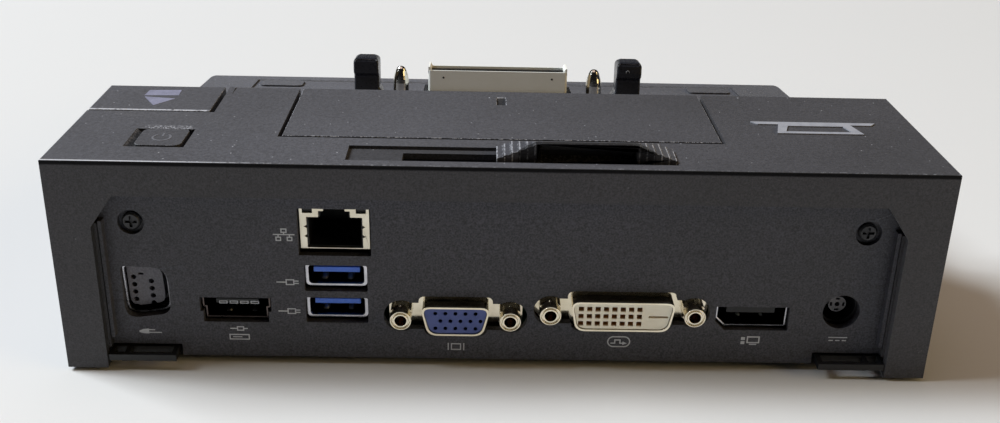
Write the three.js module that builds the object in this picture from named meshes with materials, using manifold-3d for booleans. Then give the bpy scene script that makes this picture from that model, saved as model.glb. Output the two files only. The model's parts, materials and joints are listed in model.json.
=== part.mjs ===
// Laptop docking station. Millimetres, +Z up. Origin: middle of the footprint, on the table.
// +Y is the side with the ports, -Y is the side where the laptop's front edge ends up.
import * as THREE from 'three';
import { mergeVertices } from 'three/addons/utils/BufferGeometryUtils.js';
import Module from 'manifold-3d';

const wasm = await Module();
wasm.setup();

// ---------------------------------------------------------------- driving dimensions
const WIDTH = 197.3;
const HALF = WIDTH / 2;
const HEIGHT = 51.4;            // rear top edge above the table
const RIM = 0.9;                // case rim above the table, carried by the feet
const REAR_Y = 77.4;            // rear top edge
const REAR_LEAN = 0.0642;       // the rear face leans out towards its foot
const TOP_FALL = 0.0521;        // the top face falls towards the laptop
const BLOCK_FRONT = 25.55;      // front top edge of the raised block
const BLOCK_TOE = 21.5;         // foot of the block's front face
const DECK_FRONT = -80.6;       // front edge of the deck
const LIP = { y: -79.6, z: 12.6 };
const DECK_RISE = 0.158;        // the deck climbs towards the block
const WALL = 2.2;
const SIDE = HALF - WALL;       // inner face of the side walls
const GAP = 0.3;                // working clearance between neighbouring pieces
const SKIN = 0.1;               // clearance between pieces that sit on each other

const POST = 9.2;               // width of the two rear corner posts
const PANEL_INSET = 4.0;        // port panel behind the rear face
const PANEL_THICK = 2.0;
const CONNECTOR_FACE = 78.2;    // outer faces of the two screw-lock connectors
const SHELL_REACH = 5.0;        // those shells stand out this far from their flanges
const BOARD = { x: 86, y0: 36, y1: 67.6, z0: 5.2, z1: 6.4 };
const FLOOR = { z0: 2.6, z1: 4.2 };

const BAR = { x: 50.1, rear: 59.6, deep: 10.5, wall: 2, travel: 18 };
const BAR_PIN = { x: -7.5, y: 54 };
const KNOB = { x0: -37.8, x1: 1.5, travel: 32 };
const EJECT = { x0: 69.8, rear: 44.0, foot: 40.2, travel: 3 };
const LEVER = { x: 85, y: 31.5, z: 29, reach: 10, drop: 9.8 };
const POWER = { x: 76.4, y: 62.2, w: 10.4, d: 10.5 };

const DOCK_Y = -38.6;           // docking connector's middle
const HOOK_X = 40.7;
const PIN_X = 30.2;

const rearAt = (z) => REAR_Y + REAR_LEAN * (HEIGHT - z);
const topAt = (y) => HEIGHT - TOP_FALL * (REAR_Y - y);
const deckAt = (y) => LIP.z + DECK_RISE * (y - LIP.y);
const blockFrontAt = (z) => {
  const foot = deckAt(BLOCK_TOE);
  const lean = (BLOCK_FRONT - BLOCK_TOE) / (topAt(BLOCK_FRONT) - foot);
  return BLOCK_TOE + lean * (z - foot);
};

// ---------------------------------------------------------------- materials
const looks = {
  case: { color: 0x2b2c2f, roughness: 0.62, metalness: 0 },
  panel: { color: 0x28292b, roughness: 0.66, metalness: 0 },
  black: { color: 0x121214, roughness: 0.5, metalness: 0 },
  rubber: { color: 0x17171a, roughness: 0.9, metalness: 0 },
  nickel: { color: 0xcfc6b2, roughness: 0.28, metalness: 1 },
  chrome: { color: 0xd8d6d2, roughness: 0.12, metalness: 1 },
  steel: { color: 0x9a9a98, roughness: 0.35, metalness: 1 },
  dark_steel: { color: 0x3a3b3d, roughness: 0.42, metalness: 0.9 },
  usb_blue: { color: 0x1f49a8, roughness: 0.45, metalness: 0 },
  vga_blue: { color: 0x2c4a94, roughness: 0.5, metalness: 0 },
  cream: { color: 0xe0d6bd, roughness: 0.55, metalness: 0 },
  board: { color: 0x1c4a2c, roughness: 0.5, metalness: 0 },
  silver_print: { color: 0x8d9098, roughness: 0.5, metalness: 0.2 },
};
for (const look of Object.values(looks)) look.material = new THREE.MeshStandardMaterial(look);

// ---------------------------------------------------------------- shape helpers
function solid(geometry) {
  const bare = geometry.clone();
  bare.deleteAttribute('normal');
  bare.deleteAttribute('uv');
  const merged = mergeVertices(bare, 1e-4);
  return new wasm.Manifold(new wasm.Mesh({
    numProp: 3,
    vertProperties: Float32Array.from(merged.attributes.position.array),
    triVerts: Uint32Array.from(merged.index.array),
  }));
}

function geometryOf(shape) {
  const mesh = shape.getMesh();
  const geometry = new THREE.BufferGeometry();
  geometry.setAttribute('position', new THREE.BufferAttribute(mesh.vertProperties, 3));
  geometry.setIndex(new THREE.BufferAttribute(mesh.triVerts, 1));
  return geometry;
}

const join = (first, ...rest) => rest.reduce((sum, piece) => sum.add(piece), first);
const cut = (body, ...tools) => tools.reduce((left, tool) => left.subtract(tool), body);

function box([x0, x1], [y0, y1], [z0, z1]) {
  const block = new THREE.BoxGeometry(x1 - x0, y1 - y0, z1 - z0);
  return solid(block.translate((x0 + x1) / 2, (y0 + y1) / 2, (z0 + z1) / 2));
}

const axisX = new THREE.Vector3(1, 0, 0);
const axisY = new THREE.Vector3(0, 1, 0);
const axisZ = new THREE.Vector3(0, 0, 1);

function extrude(shape, length) {
  return new THREE.ExtrudeGeometry(shape, { depth: length, bevelEnabled: false, curveSegments: 3 });
}

function asShape(outline) {
  if (!Array.isArray(outline)) return outline;
  return new THREE.Shape(outline.map(([a, b]) => new THREE.Vector2(a, b)));
}

// Outline in (y, z), from x0 to x1.
function prismX(outline, x0, x1) {
  const turn = new THREE.Matrix4().makeBasis(axisY, axisZ, axisX);
  return solid(extrude(asShape(outline), x1 - x0).applyMatrix4(turn).translate(x0, 0, 0));
}

// Outline in (x, z), from y0 to y1, in the frame of an optional matrix.
function prismY(outline, y0, y1, matrix = new THREE.Matrix4()) {
  const turn = new THREE.Matrix4().makeBasis(axisX, axisZ, axisY.clone().negate());
  const prism = extrude(asShape(outline), y1 - y0).applyMatrix4(turn).translate(0, y1, 0);
  return solid(prism.applyMatrix4(matrix));
}

// Outline in (x, y), from z0 to z1.
function prismZ(outline, z0, z1) {
  return solid(extrude(asShape(outline), z1 - z0).translate(0, 0, z0));
}

function roundRect(cx, cy, w, h, r) {
  const shape = new THREE.Shape();
  const [x, y] = [cx - w / 2, cy - h / 2];
  shape.moveTo(x + r, y);
  shape.lineTo(x + w - r, y);
  shape.absarc(x + w - r, y + r, r, -Math.PI / 2, 0);
  shape.lineTo(x + w, y + h - r);
  shape.absarc(x + w - r, y + h - r, r, 0, Math.PI / 2);
  shape.lineTo(x + r, y + h);
  shape.absarc(x + r, y + h - r, r, Math.PI / 2, Math.PI);
  shape.lineTo(x, y + r);
  shape.absarc(x + r, y + r, r, Math.PI, Math.PI * 1.5);
  return shape;
}

function disc(cx, cy, r, sides = 20, turn = 0) {
  const ring = [];
  for (let i = 0; i < sides; i += 1) {
    const angle = turn + (i * 2 * Math.PI) / sides;
    ring.push([cx + r * Math.cos(angle), cy + r * Math.sin(angle)]);
  }
  return ring;
}

const rodX = (y, z, r, x0, x1, sides) => prismX(disc(y, z, r, sides), x0, x1);
const rodY = (x, z, r, y0, y1, sides) => prismY(disc(x, z, r, sides), y0, y1);
const rodZ = (x, y, r, z0, z1, sides) => prismZ(disc(x, y, r, sides), z0, z1);

// A turned piece about +Z from [radius, height] points that start and end on the axis.
function turned(profile, sides = 18) {
  const points = profile.map(([r, z]) => new THREE.Vector2(r, z));
  return solid(new THREE.LatheGeometry(points, sides).rotateX(Math.PI / 2));
}

// Box in a frame that is turned about X, given as a matrix.
function placedBox(matrix, [x0, x1], [y0, y1], [z0, z1]) {
  const block = new THREE.BoxGeometry(x1 - x0, y1 - y0, z1 - z0);
  block.translate((x0 + x1) / 2, (y0 + y1) / 2, (z0 + z1) / 2);
  return solid(block.applyMatrix4(matrix));
}

const both = (make) => [make(1), make(-1)];
const span = (side, near, far) => (side > 0 ? [near, far] : [-far, -near]);

// ---------------------------------------------------------------- scene graph
const station = new THREE.Group();

function frame(parent, position, tilt = 0) {
  const group = new THREE.Group();
  group.position.set(...position);
  group.rotation.x = tilt;
  parent.add(group);
  group.updateMatrixWorld(true);
  return group;
}

const deckFrame = frame(station, [0, DOCK_Y, deckAt(DOCK_Y)], Math.atan(DECK_RISE));
const topFrame = frame(station, [0, REAR_Y, HEIGHT], Math.atan(TOP_FALL));
const panelFrame = frame(station, [0, rearAt(0) - PANEL_INSET, 0], Math.atan(REAR_LEAN));

function part(name, look, shape, parent = station, position = [0, 0, 0], turnX = 0) {
  const mesh = new THREE.Mesh(geometryOf(shape), looks[look].material);
  mesh.name = name;
  mesh.position.set(...position);
  mesh.rotation.x = turnX;
  parent.add(mesh);
}

// ---------------------------------------------------------------- case
// Slab that follows the rear face, between two depths behind it.
function rearSlab([x0, x1], [near, far], [z0, z1]) {
  return prismX([
    [rearAt(z0) - far, z0], [rearAt(z0) - near, z0], [rearAt(z1) - near, z1], [rearAt(z1) - far, z1],
  ], x0, x1);
}

function blockShell() {
  const outer = prismX([
    [REAR_Y, HEIGHT], [BLOCK_FRONT, topAt(BLOCK_FRONT)], [BLOCK_TOE, deckAt(BLOCK_TOE)],
    [BLOCK_TOE, RIM], [rearAt(RIM), RIM],
  ], -HALF, HALF);
  const under = HEIGHT - WALL;
  const inner = prismX([
    [rearAt(under) - WALL, topAt(REAR_Y - WALL) - WALL],
    [BLOCK_FRONT + WALL, topAt(BLOCK_FRONT + WALL) - WALL],
    [BLOCK_TOE + WALL, deckAt(BLOCK_TOE)],
    [BLOCK_TOE + WALL, RIM - 5],
    [rearAt(RIM - 5) - WALL, RIM - 5],
  ], -SIDE, SIDE);
  return cut(outer, inner);
}

const OPENING = { x: HALF - POST, top: 43.5, chamferX: 5.3, chamferZ: 7.45 };

function rearOpening() {
  const { x, top, chamferX, chamferZ } = OPENING;
  return prismY([
    [-x, -5], [x, -5], [x, top - chamferZ], [x - chamferX, top],
    [-x + chamferX, top], [-x, top - chamferZ],
  ], 68, 90);
}

const BAR_CLEAR = 0.85;

function barOpening() {
  const floor = (y) => topAt(y) - BAR.deep - 0.5;
  const rear = BAR.rear + BAR_CLEAR;
  return prismX([[rear, floor(rear)], [rear, 60], [15, 60], [15, floor(15)]],
    -BAR.x - BAR_CLEAR, BAR.x + BAR_CLEAR);
}

// Rails under the sliding bar, and the walls of its bay.
function barBay() {
  const railTop = (y) => topAt(y) - BAR.deep - SKIN * 2;
  const [front, rear] = [BLOCK_TOE + 4.5, BAR.rear + BAR_CLEAR];
  const wallX = BAR.x + BAR_CLEAR;
  return both((side) => join(
    prismX([[front, railTop(front) - 1.4], [rear, railTop(rear) - 1.4],
      [rear, railTop(rear)], [front, railTop(front)]], ...span(side, wallX - 4.5, wallX + 1.5)),
    prismX([[front, railTop(front) - 1.4], [rear, railTop(rear) - 1.4],
      [rear, topAt(rear) - 1], [front, topAt(front) - 1]], ...span(side, wallX, wallX + 1.5)),
  ));
}

const NOTCH = { x: 68.6, rear: 44.75, z: 36.6 };

function ejectNotch() {
  return box([NOTCH.x, HALF + 1], [15, NOTCH.rear], [NOTCH.z, 60]);
}

// Inner walls of the corner bay in which the eject button travels, and the sill its spring stands on.
function ejectBay() {
  const low = NOTCH.z - 4;
  const ledge = NOTCH.z - SKIN;
  const [ringTop, roof] = [43.0, 49.0];
  const front = blockFrontAt(ringTop) + 3.4;
  const rear = EJECT.rear - 2.3;
  return join(
    box([NOTCH.x - 1.5, NOTCH.x], [BLOCK_FRONT + 0.5, NOTCH.rear + 1.5], [low, roof]),
    box([NOTCH.x - 1.5, SIDE + 0.5], [NOTCH.rear, NOTCH.rear + 1.5], [low, roof]),
    box([94.6, 96.2], [front, rear], [low, ringTop]),
    box([94.6, SIDE + 0.5], [front, NOTCH.rear + 0.5], [low, ledge]),
    box([72.3, 96.2], [front, front + 1.5], [low, ringTop]),
    box([NOTCH.x - 0.5, SIDE + 0.5], [BLOCK_TOE + 1.5, front + 1.5], [low, ledge]),
    box([NOTCH.x - 0.5, 80.5], [front, NOTCH.rear + 0.5], [low, low + 1.6]),
  );
}

const SLOT = { pocket: [-38.1, 34.2], pocketY: [-12.2, -3.4], slot: [-31.6, 22.1], slotY: [-10.0, -4.1] };
const POCKET_DEEP = 0.8;

function topCuts() {
  const m = topFrame.matrixWorld;
  const py = POWER.y - REAR_Y;
  return [
    placedBox(m, SLOT.pocket, SLOT.pocketY, [-POCKET_DEEP, 5]),
    placedBox(m, SLOT.slot, SLOT.slotY, [-5, 5]),
    prismY([[POWER.x - 6.3, 5], [POWER.x - 6.1, -1.4], [POWER.x + 5.5, -1.4], [POWER.x + 7.2, 0],
      [POWER.x + 7.2, 5]], py - POWER.d / 2 - 0.3, py + POWER.d / 2 + 0.7, m),
    placedBox(m, [POWER.x - POWER.w / 2 - 0.25, POWER.x + POWER.w / 2 + 0.25],
      [py - POWER.d / 2 - 0.25, py + POWER.d / 2 + 0.7], [-5, 5]),
  ];
}

const PANEL_SCREW = { x: 82, z: 35.5 };

function panelBosses() {
  const { x, z } = PANEL_SCREW;
  return both((side) => cut(
    join(
      rodY(side * x, z, 3.3, 62, 70.9, 18),
      box(span(side, x + 2.2, SIDE + 0.5), [62, 70.9], [z - 0.9, z + 0.9]),
    ),
    prismY(disc(side * x, z, 1.6, 14), -16, 0, panelFrame.matrixWorld),
  ));
}

const CASE_SCREWS = [[90.6, 62], [-90.6, 62]];
const DECK_SCREWS = [[89, -60], [-89, -60]];

function floorBosses(places, top) {
  return places.map(([x, y]) => cut(
    join(
      rodZ(x, y, 3.1, FLOOR.z1 + GAP, top(y), 16),
      box(span(Math.sign(x), Math.abs(x) + 1.9, SIDE + 0.5), [y - 1, y + 1], [FLOOR.z1 + GAP, top(y)]),
    ),
    rodZ(x, y, 1.5, 0, 14, 14),
  ));
}

function blockCover() {
  const shell = cut(
    blockShell(),
    rearOpening(),
    box([-SIDE, SIDE], [15, BLOCK_TOE + 8], [-5, deckAt(BLOCK_TOE) - WALL]),
    barOpening(),
    ejectNotch(),
    ...topCuts(),
    box([-HALF - 1, -SIDE + 1], [36, 43], [20, 23.2]),
  );
  const returns = both((side) => rearSlab(span(side, HALF - POST - 0.6, HALF - POST + 3),
    [WALL - 0.3, PANEL_INSET - SKIN], [RIM + 4.2, OPENING.top - OPENING.chamferZ]));
  return cut(
    join(shell, ...returns, ...barBay(), ejectBay(), ...panelBosses(),
      ...floorBosses(CASE_SCREWS, () => 16),
      ...[59, 67].map((y) => rodZ(68.8, y, 1.2, 43.3 + SKIN, 49, 12))),
    box([-100, 100], [15, BLOCK_FRONT + 1], [topAt(BLOCK_FRONT) + 0.5, 60]),
  );
}
part('block_cover', 'case', blockCover());

function deckOutline(inset) {
  const [x, front, rear] = [HALF - inset, DECK_FRONT + inset, BLOCK_TOE - GAP];
  const r = 5 - inset;
  const shape = new THREE.Shape();
  shape.moveTo(-x, rear);
  shape.lineTo(-x, front + r);
  shape.absarc(-x + r, front + r, r, Math.PI, Math.PI * 1.5);
  shape.lineTo(x - r, front);
  shape.absarc(x - r, front + r, r, -Math.PI / 2, 0);
  shape.lineTo(x, rear);
  return shape;
}

const HOOK_SLOT = { near: 35.0, far: 46.2, y: [-9.2, 7.4] };
const WINDOW = { x: 34.0, y: 8.2 };

function deckCover() {
  const rear = BLOCK_TOE - GAP;
  const outer = prismX([
    [rear, RIM], [rear, deckAt(rear)], [-78.4, deckAt(-78.4)], [-79.9, 12.1], [DECK_FRONT, 11],
    [DECK_FRONT, 2.4], [DECK_FRONT + 1.2, RIM],
  ], -HALF - 1, HALF + 1).intersect(prismZ(deckOutline(0), -1, 60));
  const inner = prismX([
    [rear + 1, -3], [rear + 1, deckAt(rear + 1) - WALL], [-90, deckAt(-90) - WALL], [-90, -3],
  ], -HALF, HALF).intersect(prismZ(deckOutline(WALL), -4, 60))
    .add(prismX([[0, -3], [0, deckAt(0) - WALL], [rear + 2, deckAt(rear + 2) - WALL], [rear + 2, -3]],
      -SIDE, SIDE));
  const m = deckFrame.matrixWorld;
  const slots = both((side) => placedBox(m, span(side, HOOK_SLOT.near, HOOK_SLOT.far), HOOK_SLOT.y, [-6, 6]));
  return cut(
    join(cut(outer, inner), ...floorBosses(DECK_SCREWS, (y) => deckAt(y) - 1)),
    placedBox(m, [-81.5, 81.5], [-35.4, 54], [-0.6, 5]),
    placedBox(m, [-WINDOW.x, WINDOW.x], [-WINDOW.y, WINDOW.y], [-6, 6]),
    ...slots,
  );
}
part('deck_cover', 'case', deckCover());

// Sloping prism that follows the deck, between two depths under it.
function underDeck([x0, x1], [y0, y1], low, depth) {
  return prismX([[y0, low], [y1, low], [y1, deckAt(y1) - depth], [y0, deckAt(y0) - depth]], x0, x1);
}

const TAB = { inner: 73.9, outer: HALF - POST - 0.3, rib: 85.3 };

function rearTab(side) {
  const bar = rearAt(FLOOR.z1) - 0.2;
  const plate = box(span(side, TAB.inner, TAB.outer), [72, bar], [FLOOR.z0, FLOOR.z1]);
  return cut(
    plate,
    box(span(side, TAB.inner + 1.2, TAB.rib - 0.5), [bar - 3.6, bar - 1.1], [0, 9]),
    box(span(side, TAB.rib + 0.5, TAB.outer - 0.8), [bar - 3.6, bar - 1.1], [0, 9]),
  );
}

function baseCover() {
  const { z0, z1 } = FLOOR;
  const x = SIDE - GAP;
  const plate = prismZ(roundRect(0, -2.25, 2 * x, 151.9, 3.2), z0, z1);
  const leverPosts = [[75.6, 78.8], [91.2, 94.2]].map((xs) => cut(
    box(xs, [LEVER.y - 2.4, LEVER.y + 2.4], [z0 + 0.5, LEVER.z + 2.4]),
    rodX(LEVER.y, LEVER.z, 1.35, 70, 100, 14),
  ));
  const boardRests = [[-78, 40], [78, 40], [-60, 60], [60, 60]]
    .map(([px, py]) => rodZ(px, py, 2.5, z1 - 0.5, BOARD.z0 - SKIN, 14));
  const latchRests = both((side) => underDeck(span(side, 24, 27), [-44, -33], z0 + 0.5, 12.1));
  const springStop = underDeck([56, 64], [-66.2, -63.4], z0 + 0.5, 6.2);
  const solidBase = join(plate, ...both(rearTab), ...leverPosts, ...boardRests, ...latchRests, springStop);
  const screwHoles = [...CASE_SCREWS, ...DECK_SCREWS].map(([px, py]) => rodZ(px, py, 1.7, 0, 9, 14));
  const screwSeats = [...CASE_SCREWS, ...DECK_SCREWS].map(([px, py]) => rodZ(px, py, 3.2, 0, 3.4, 18));
  const vents = [];
  for (let i = -3; i <= 3; i += 1) vents.push(box([i * 16 - 5, i * 16 + 5], [6, 9], [0, 9]));
  return cut(solidBase, ...screwHoles, ...screwSeats, ...vents);
}
part('base_cover', 'black', baseCover());

// ---------------------------------------------------------------- port panel
// Rounds a corner with a curve that starts and ends a radius away from it.
function roundCorner(before, corner, after, steps = 5) {
  const toward = (from, to) => {
    const [dx, dz] = [to.x - from.x, to.z - from.z];
    const length = Math.hypot(dx, dz);
    return new THREE.Vector2(from.x + (dx * from.r) / length, from.z + (dz * from.r) / length);
  };
  const curve = new THREE.QuadraticBezierCurve(
    toward(corner, before),
    new THREE.Vector2(corner.x, corner.z),
    toward(corner, after),
  );
  return curve.getPoints(steps).map((point) => [point.x, point.y]);
}

const rounded = (corners) => (
  corners.flatMap((corner, i) => roundCorner(corners.at(i - 1), corner, corners[(i + 1) % corners.length]))
);

// Outline of a D-shaped connector: wide side up, corners rounded.
function dOutline(cx, cz, w, h, slant, r) {
  const [top, bottom] = [w / 2, w / 2 - slant];
  return rounded([
    { x: cx - top, z: cz + h / 2, r }, { x: cx - bottom, z: cz - h / 2, r },
    { x: cx + bottom, z: cz - h / 2, r }, { x: cx + top, z: cz + h / 2, r },
  ]);
}

const VGA = { x: 10.1, z: 13.0, w: 16.0, h: 7.6, slant: 1.7, screws: 12.5 };
const DVI = { x: -28.05, z: 14.85, w: 24.0, h: 7.7, slant: 1.3, screws: 16.5 };
const RJ45 = { x: 37.2, z: 34.2, w: 15.6, h: 10.6, face: 73.4, deep: 14.8 };
const USB_UPPER = { x: 37.2, z: 22.7, face: 74.1 };
const USB_LOWER = { x: 37.2, z: 14.6, face: 74.5 };
const ESATA = { x: 60.3, z: 14.1, face: 74.6 };
const DP = { x: -58.2, z: 13.6, face: 74.6 };
const DC = { x: -78.6, z: 15.6 };

// The nine-contact socket stands on end: four corners, each with its own rounding.
const AUX_CORNERS = [
  { x: 85.6, z: 24.7, r: 1.0 }, { x: 75.1, z: 24.3, r: 2.8 },
  { x: 75.0, z: 12.8, r: 1.9 }, { x: 85.5, z: 11.3, r: 2.6 },
];
const AUX = { x: (AUX_CORNERS[0].x + AUX_CORNERS[2].x) / 2, z: 17.2, face: 74.3 };

function auxOutline(inset) {
  const [midX, midZ] = [80.3, 18.3];
  const corners = AUX_CORNERS.map(({ x, z, r }) => ({
    x: x - Math.sign(x - midX) * inset,
    z: z - Math.sign(z - midZ) * inset,
    r: Math.max(r - inset * 0.6, 0.4) * 1.3,
  }));
  return rounded(corners);
}

function screwLockCutout(port, shellGrow, lobe) {
  const { x, z, w, h, slant, screws } = port;
  const through = (outline) => prismY(outline, -4, 2);
  const lobes = both((side) => through(disc(x + side * screws, z, lobe, 28)));
  return join(
    through(dOutline(x, z, w + shellGrow, h + 2.6, slant, 2.0)),
    through(roundRect(x, z, 2 * screws, 2 * lobe - 1.2, 0.5)),
    ...lobes,
  );
}

const ESATA_OUTLINE = (grow, top = grow) => [
  [ESATA.x - 7.75 - grow, ESATA.z + 2.95 + top], [ESATA.x - 7.75 - grow, ESATA.z - 0.2 - grow],
  [ESATA.x - 7.1 - grow, ESATA.z - 0.2 - grow], [ESATA.x - 7.1 - grow, ESATA.z - 2.95 - grow],
  [ESATA.x + 7.1 + grow, ESATA.z - 2.95 - grow], [ESATA.x + 7.1 + grow, ESATA.z - 0.2 - grow],
  [ESATA.x + 7.75 + grow, ESATA.z - 0.2 - grow], [ESATA.x + 7.75 + grow, ESATA.z + 2.95 + top],
];

const DP_OUTLINE = (grow, top = grow) => [
  [DP.x + 8.2 + grow, DP.z + 2.8 + top], [DP.x - 8.2 - grow, DP.z + 2.8 + top],
  [DP.x - 8.2 - grow, DP.z - 2.8 - grow], [DP.x + 6.1 + grow * 0.5, DP.z - 2.8 - grow],
  [DP.x + 8.2 + grow, DP.z - 0.7 - grow * 0.5],
];

function rearPanel() {
  const plate = box([-SIDE + 0.35, SIDE - 0.35], [-PANEL_THICK, 0], [1.9, 44.4]);
  const through = (outline) => prismY(outline, -4, 2);
  const browed = (behind, mouth) => join(prismY(behind, -4, -0.6), prismY(mouth, -1, 2));
  const corners = both((side) => join(
    box(span(side, 73.3, 100), [-5, 2], [0, FLOOR.z1 + 0.6]),
    box(span(side, HALF - POST - 0.5, 100), [-5, 2], [0, 7]),
  ));
  const screwHoles = both((side) => join(
    rodY(side * PANEL_SCREW.x, PANEL_SCREW.z, 2.95, -1.3, 2, 24),
    rodY(side * PANEL_SCREW.x, PANEL_SCREW.z, 1.8, -4, 2, 16),
  ));
  const flanges = both((side) => box(span(side, 87.8, 88.6), [-0.5, 2], [7.5, 36.5]));
  return cut(
    join(plate, ...flanges),
    ...corners,
    ...screwHoles,
    through(auxOutline(0)),
    browed(ESATA_OUTLINE(0.35), ESATA_OUTLINE(0.35, 0)),
    browed(roundRect(RJ45.x, 33.9, 16.2, 11.8, 0.3), roundRect(RJ45.x, 33.7, 16.2, 11.4, 0.3)),
    browed(roundRect(USB_UPPER.x, 22.5, 14.5, 6.9, 0.4), roundRect(USB_UPPER.x, 22.3, 14.2, 6.5, 0.4)),
    browed(roundRect(USB_LOWER.x, 14.4, 14.5, 6.8, 0.4), roundRect(USB_LOWER.x, 14.2, 14.2, 6.4, 0.4)),
    screwLockCutout(VGA, 1.6, 4.0),
    screwLockCutout(DVI, 1.6, 3.8),
    browed(DP_OUTLINE(0.35), DP_OUTLINE(0.3, 0.15)),
    through(disc(DC.x, DC.z, 4.3, 28)),
  );
}
part('rear_panel', 'panel', rearPanel(), panelFrame);

// Cross-head screw, head up at its origin, shank down.
function crossScrew(headR, headH, shankR, length) {
  const body = turned([[0, -length - 0.6], [shankR, -length], [shankR, -headH], [headR, -headH],
    [headR, -headH * 0.45], [headR * 0.8, 0], [0, 0]], 14);
  const arm = headR * 0.62;
  const slot = headR * 0.15;
  return cut(body, join(box([-arm, arm], [-slot, slot], [-headH * 0.7, 1]),
    box([-slot, slot], [-arm, arm], [-headH * 0.7, 1])));
}

for (const [name, side] of [['left', 1], ['right', -1]]) {
  part(`panel_screw_${name}`, 'dark_steel', crossScrew(2.15, 1.0, 1.25, 7.5), panelFrame,
    [side * PANEL_SCREW.x, -0.2, PANEL_SCREW.z], -Math.PI / 2);
}
const screwPlaces = { rear_left: CASE_SCREWS[0], rear_right: CASE_SCREWS[1],
  front_left: DECK_SCREWS[0], front_right: DECK_SCREWS[1] };
for (const [name, [x, y]] of Object.entries(screwPlaces)) {
  part(`base_screw_${name}`, 'dark_steel', crossScrew(2.8, 0.9, 1.2, 8), station, [x, y, 2.4], Math.PI);
}

const FOOT = { r: 6, places: { rear_left: [82, 52], rear_right: [-82, 52], front_left: [82, -68],
  front_right: [-82, -68] } };
for (const [name, [x, y]] of Object.entries(FOOT.places)) {
  const pad = turned([[0, 0], [FOOT.r - 0.8, 0], [FOOT.r, 0.8], [FOOT.r, FLOOR.z0 - SKIN],
    [0, FLOOR.z0 - SKIN]]);
  part(`foot_${name}`, 'rubber', pad, station, [x, y, 0]);
}

// ---------------------------------------------------------------- ports
function tube(outer, inner, y0, y1) {
  return cut(prismY(outer, y0, y1), prismY(inner, y0 - 1, y1 + 1));
}

// Screw post on a connector flange: hexagonal foot, round nose with a ring groove, threaded hole.
function standoff(x, z, flangeFace) {
  const mouth = CONNECTOR_FACE + 1;
  const post = join(
    prismY(disc(x, z, 2.75, 6, Math.PI / 6), flangeFace + SKIN, flangeFace + 2.6),
    rodY(x, z, 2.45, flangeFace + SKIN, CONNECTOR_FACE - 0.05, 32),
    rodY(x, z, 1.3, flangeFace - 4, flangeFace + 1, 12),
  );
  const groove = cut(
    rodY(x, z, 2.15, CONNECTOR_FACE - 0.6, mouth, 28),
    rodY(x, z, 1.75, flangeFace, mouth + 1, 28),
  );
  return cut(post, groove, rodY(x, z, 1.35, flangeFace + 0.9, mouth, 20));
}

function screwLockPort(name, port, flangeW, flangeH, insertLook, holes) {
  const { x, z, w, h, slant, screws } = port;
  const flangeFace = CONNECTOR_FACE - SHELL_REACH;
  const inner = dOutline(x, z, w - 0.9, h - 0.9, slant, 1.9);
  const shell = cut(
    join(
      prismY(roundRect(x, z, flangeW, flangeH, 0.8), flangeFace - 0.8, flangeFace),
      prismY(dOutline(x, z, w, h, slant, 2.2), flangeFace - 0.8, CONNECTOR_FACE),
    ),
    prismY(inner, 60, 80),
    ...both((side) => rodY(x + side * screws, z, 1.6, 60, 80, 14)),
  );
  part(`${name}_shell`, 'nickel', shell);
  const core = join(
    prismY(dOutline(x, z, w - 1.1, h - 1.1, slant, 1.85), 60, CONNECTOR_FACE - 0.3),
    box([x - w / 2 - 1, x + w / 2 + 1], [58, flangeFace - 0.9], [BOARD.z1 + SKIN, z + 4.6]),
  );
  part(`${name}_insert`, insertLook, cut(core, ...holes));
  for (const [label, side] of [['left', 1], ['right', -1]]) {
    part(`${name}_standoff_${label}`, 'nickel', standoff(x + side * screws, z, flangeFace));
  }
}

function vgaHoles() {
  const holes = [];
  for (const [row, shift] of [[1, 0], [0, -0.5], [-1, 0]]) {
    for (let i = -2; i <= 2; i += 1) {
      const x = VGA.x + (i + shift) * 2.29;
      holes.push(rodY(x, VGA.z + row * 1.98, 0.5, CONNECTOR_FACE - 3, CONNECTOR_FACE + 1, 8));
    }
  }
  return holes;
}
screwLockPort('vga', VGA, 30.8, 12.2, 'vga_blue', vgaHoles());

const DVI_PITCH = 1.905;
const DVI_FIRST = -18.5;
function dviHoles() {
  const holes = [];
  for (let row = -1; row <= 1; row += 1) {
    for (let i = 0; i < 8; i += 1) {
      const x = DVI_FIRST - i * DVI_PITCH;
      const z = DVI.z + row * DVI_PITCH;
      holes.push(box([x - 0.6, x + 0.6], [CONNECTOR_FACE - 2.5, 80], [z - 0.6, z + 0.6]));
    }
  }
  holes.push(box([-38.4, -34.0], [CONNECTOR_FACE - 2.5, 80], [DVI.z - 0.25, DVI.z + 0.25]));
  return holes;
}
screwLockPort('dvi', DVI, 40.4, 12.0, 'cream', dviHoles());

function rj45Mouth(grow) {
  const { x } = RJ45;
  const g = grow;
  return [
    [x - 5.9 - g, 29.5 - g], [x + 5.9 + g, 29.5 - g], [x + 5.9 + g, 36.7 + g * 0.5],
    [x + 3.2 + g, 36.7 + g * 0.5], [x + 3.2 + g, 38.2 + g * 0.5], [x + 2.35, 38.2 + g * 0.5],
    [x + 2.35, 38.9], [x - 2.35, 38.9], [x - 2.35, 38.2 + g * 0.5], [x - 3.2 - g, 38.2 + g * 0.5],
    [x - 3.2 - g, 36.7 + g * 0.5], [x - 5.9 - g, 36.7 + g * 0.5],
  ];
}

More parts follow.
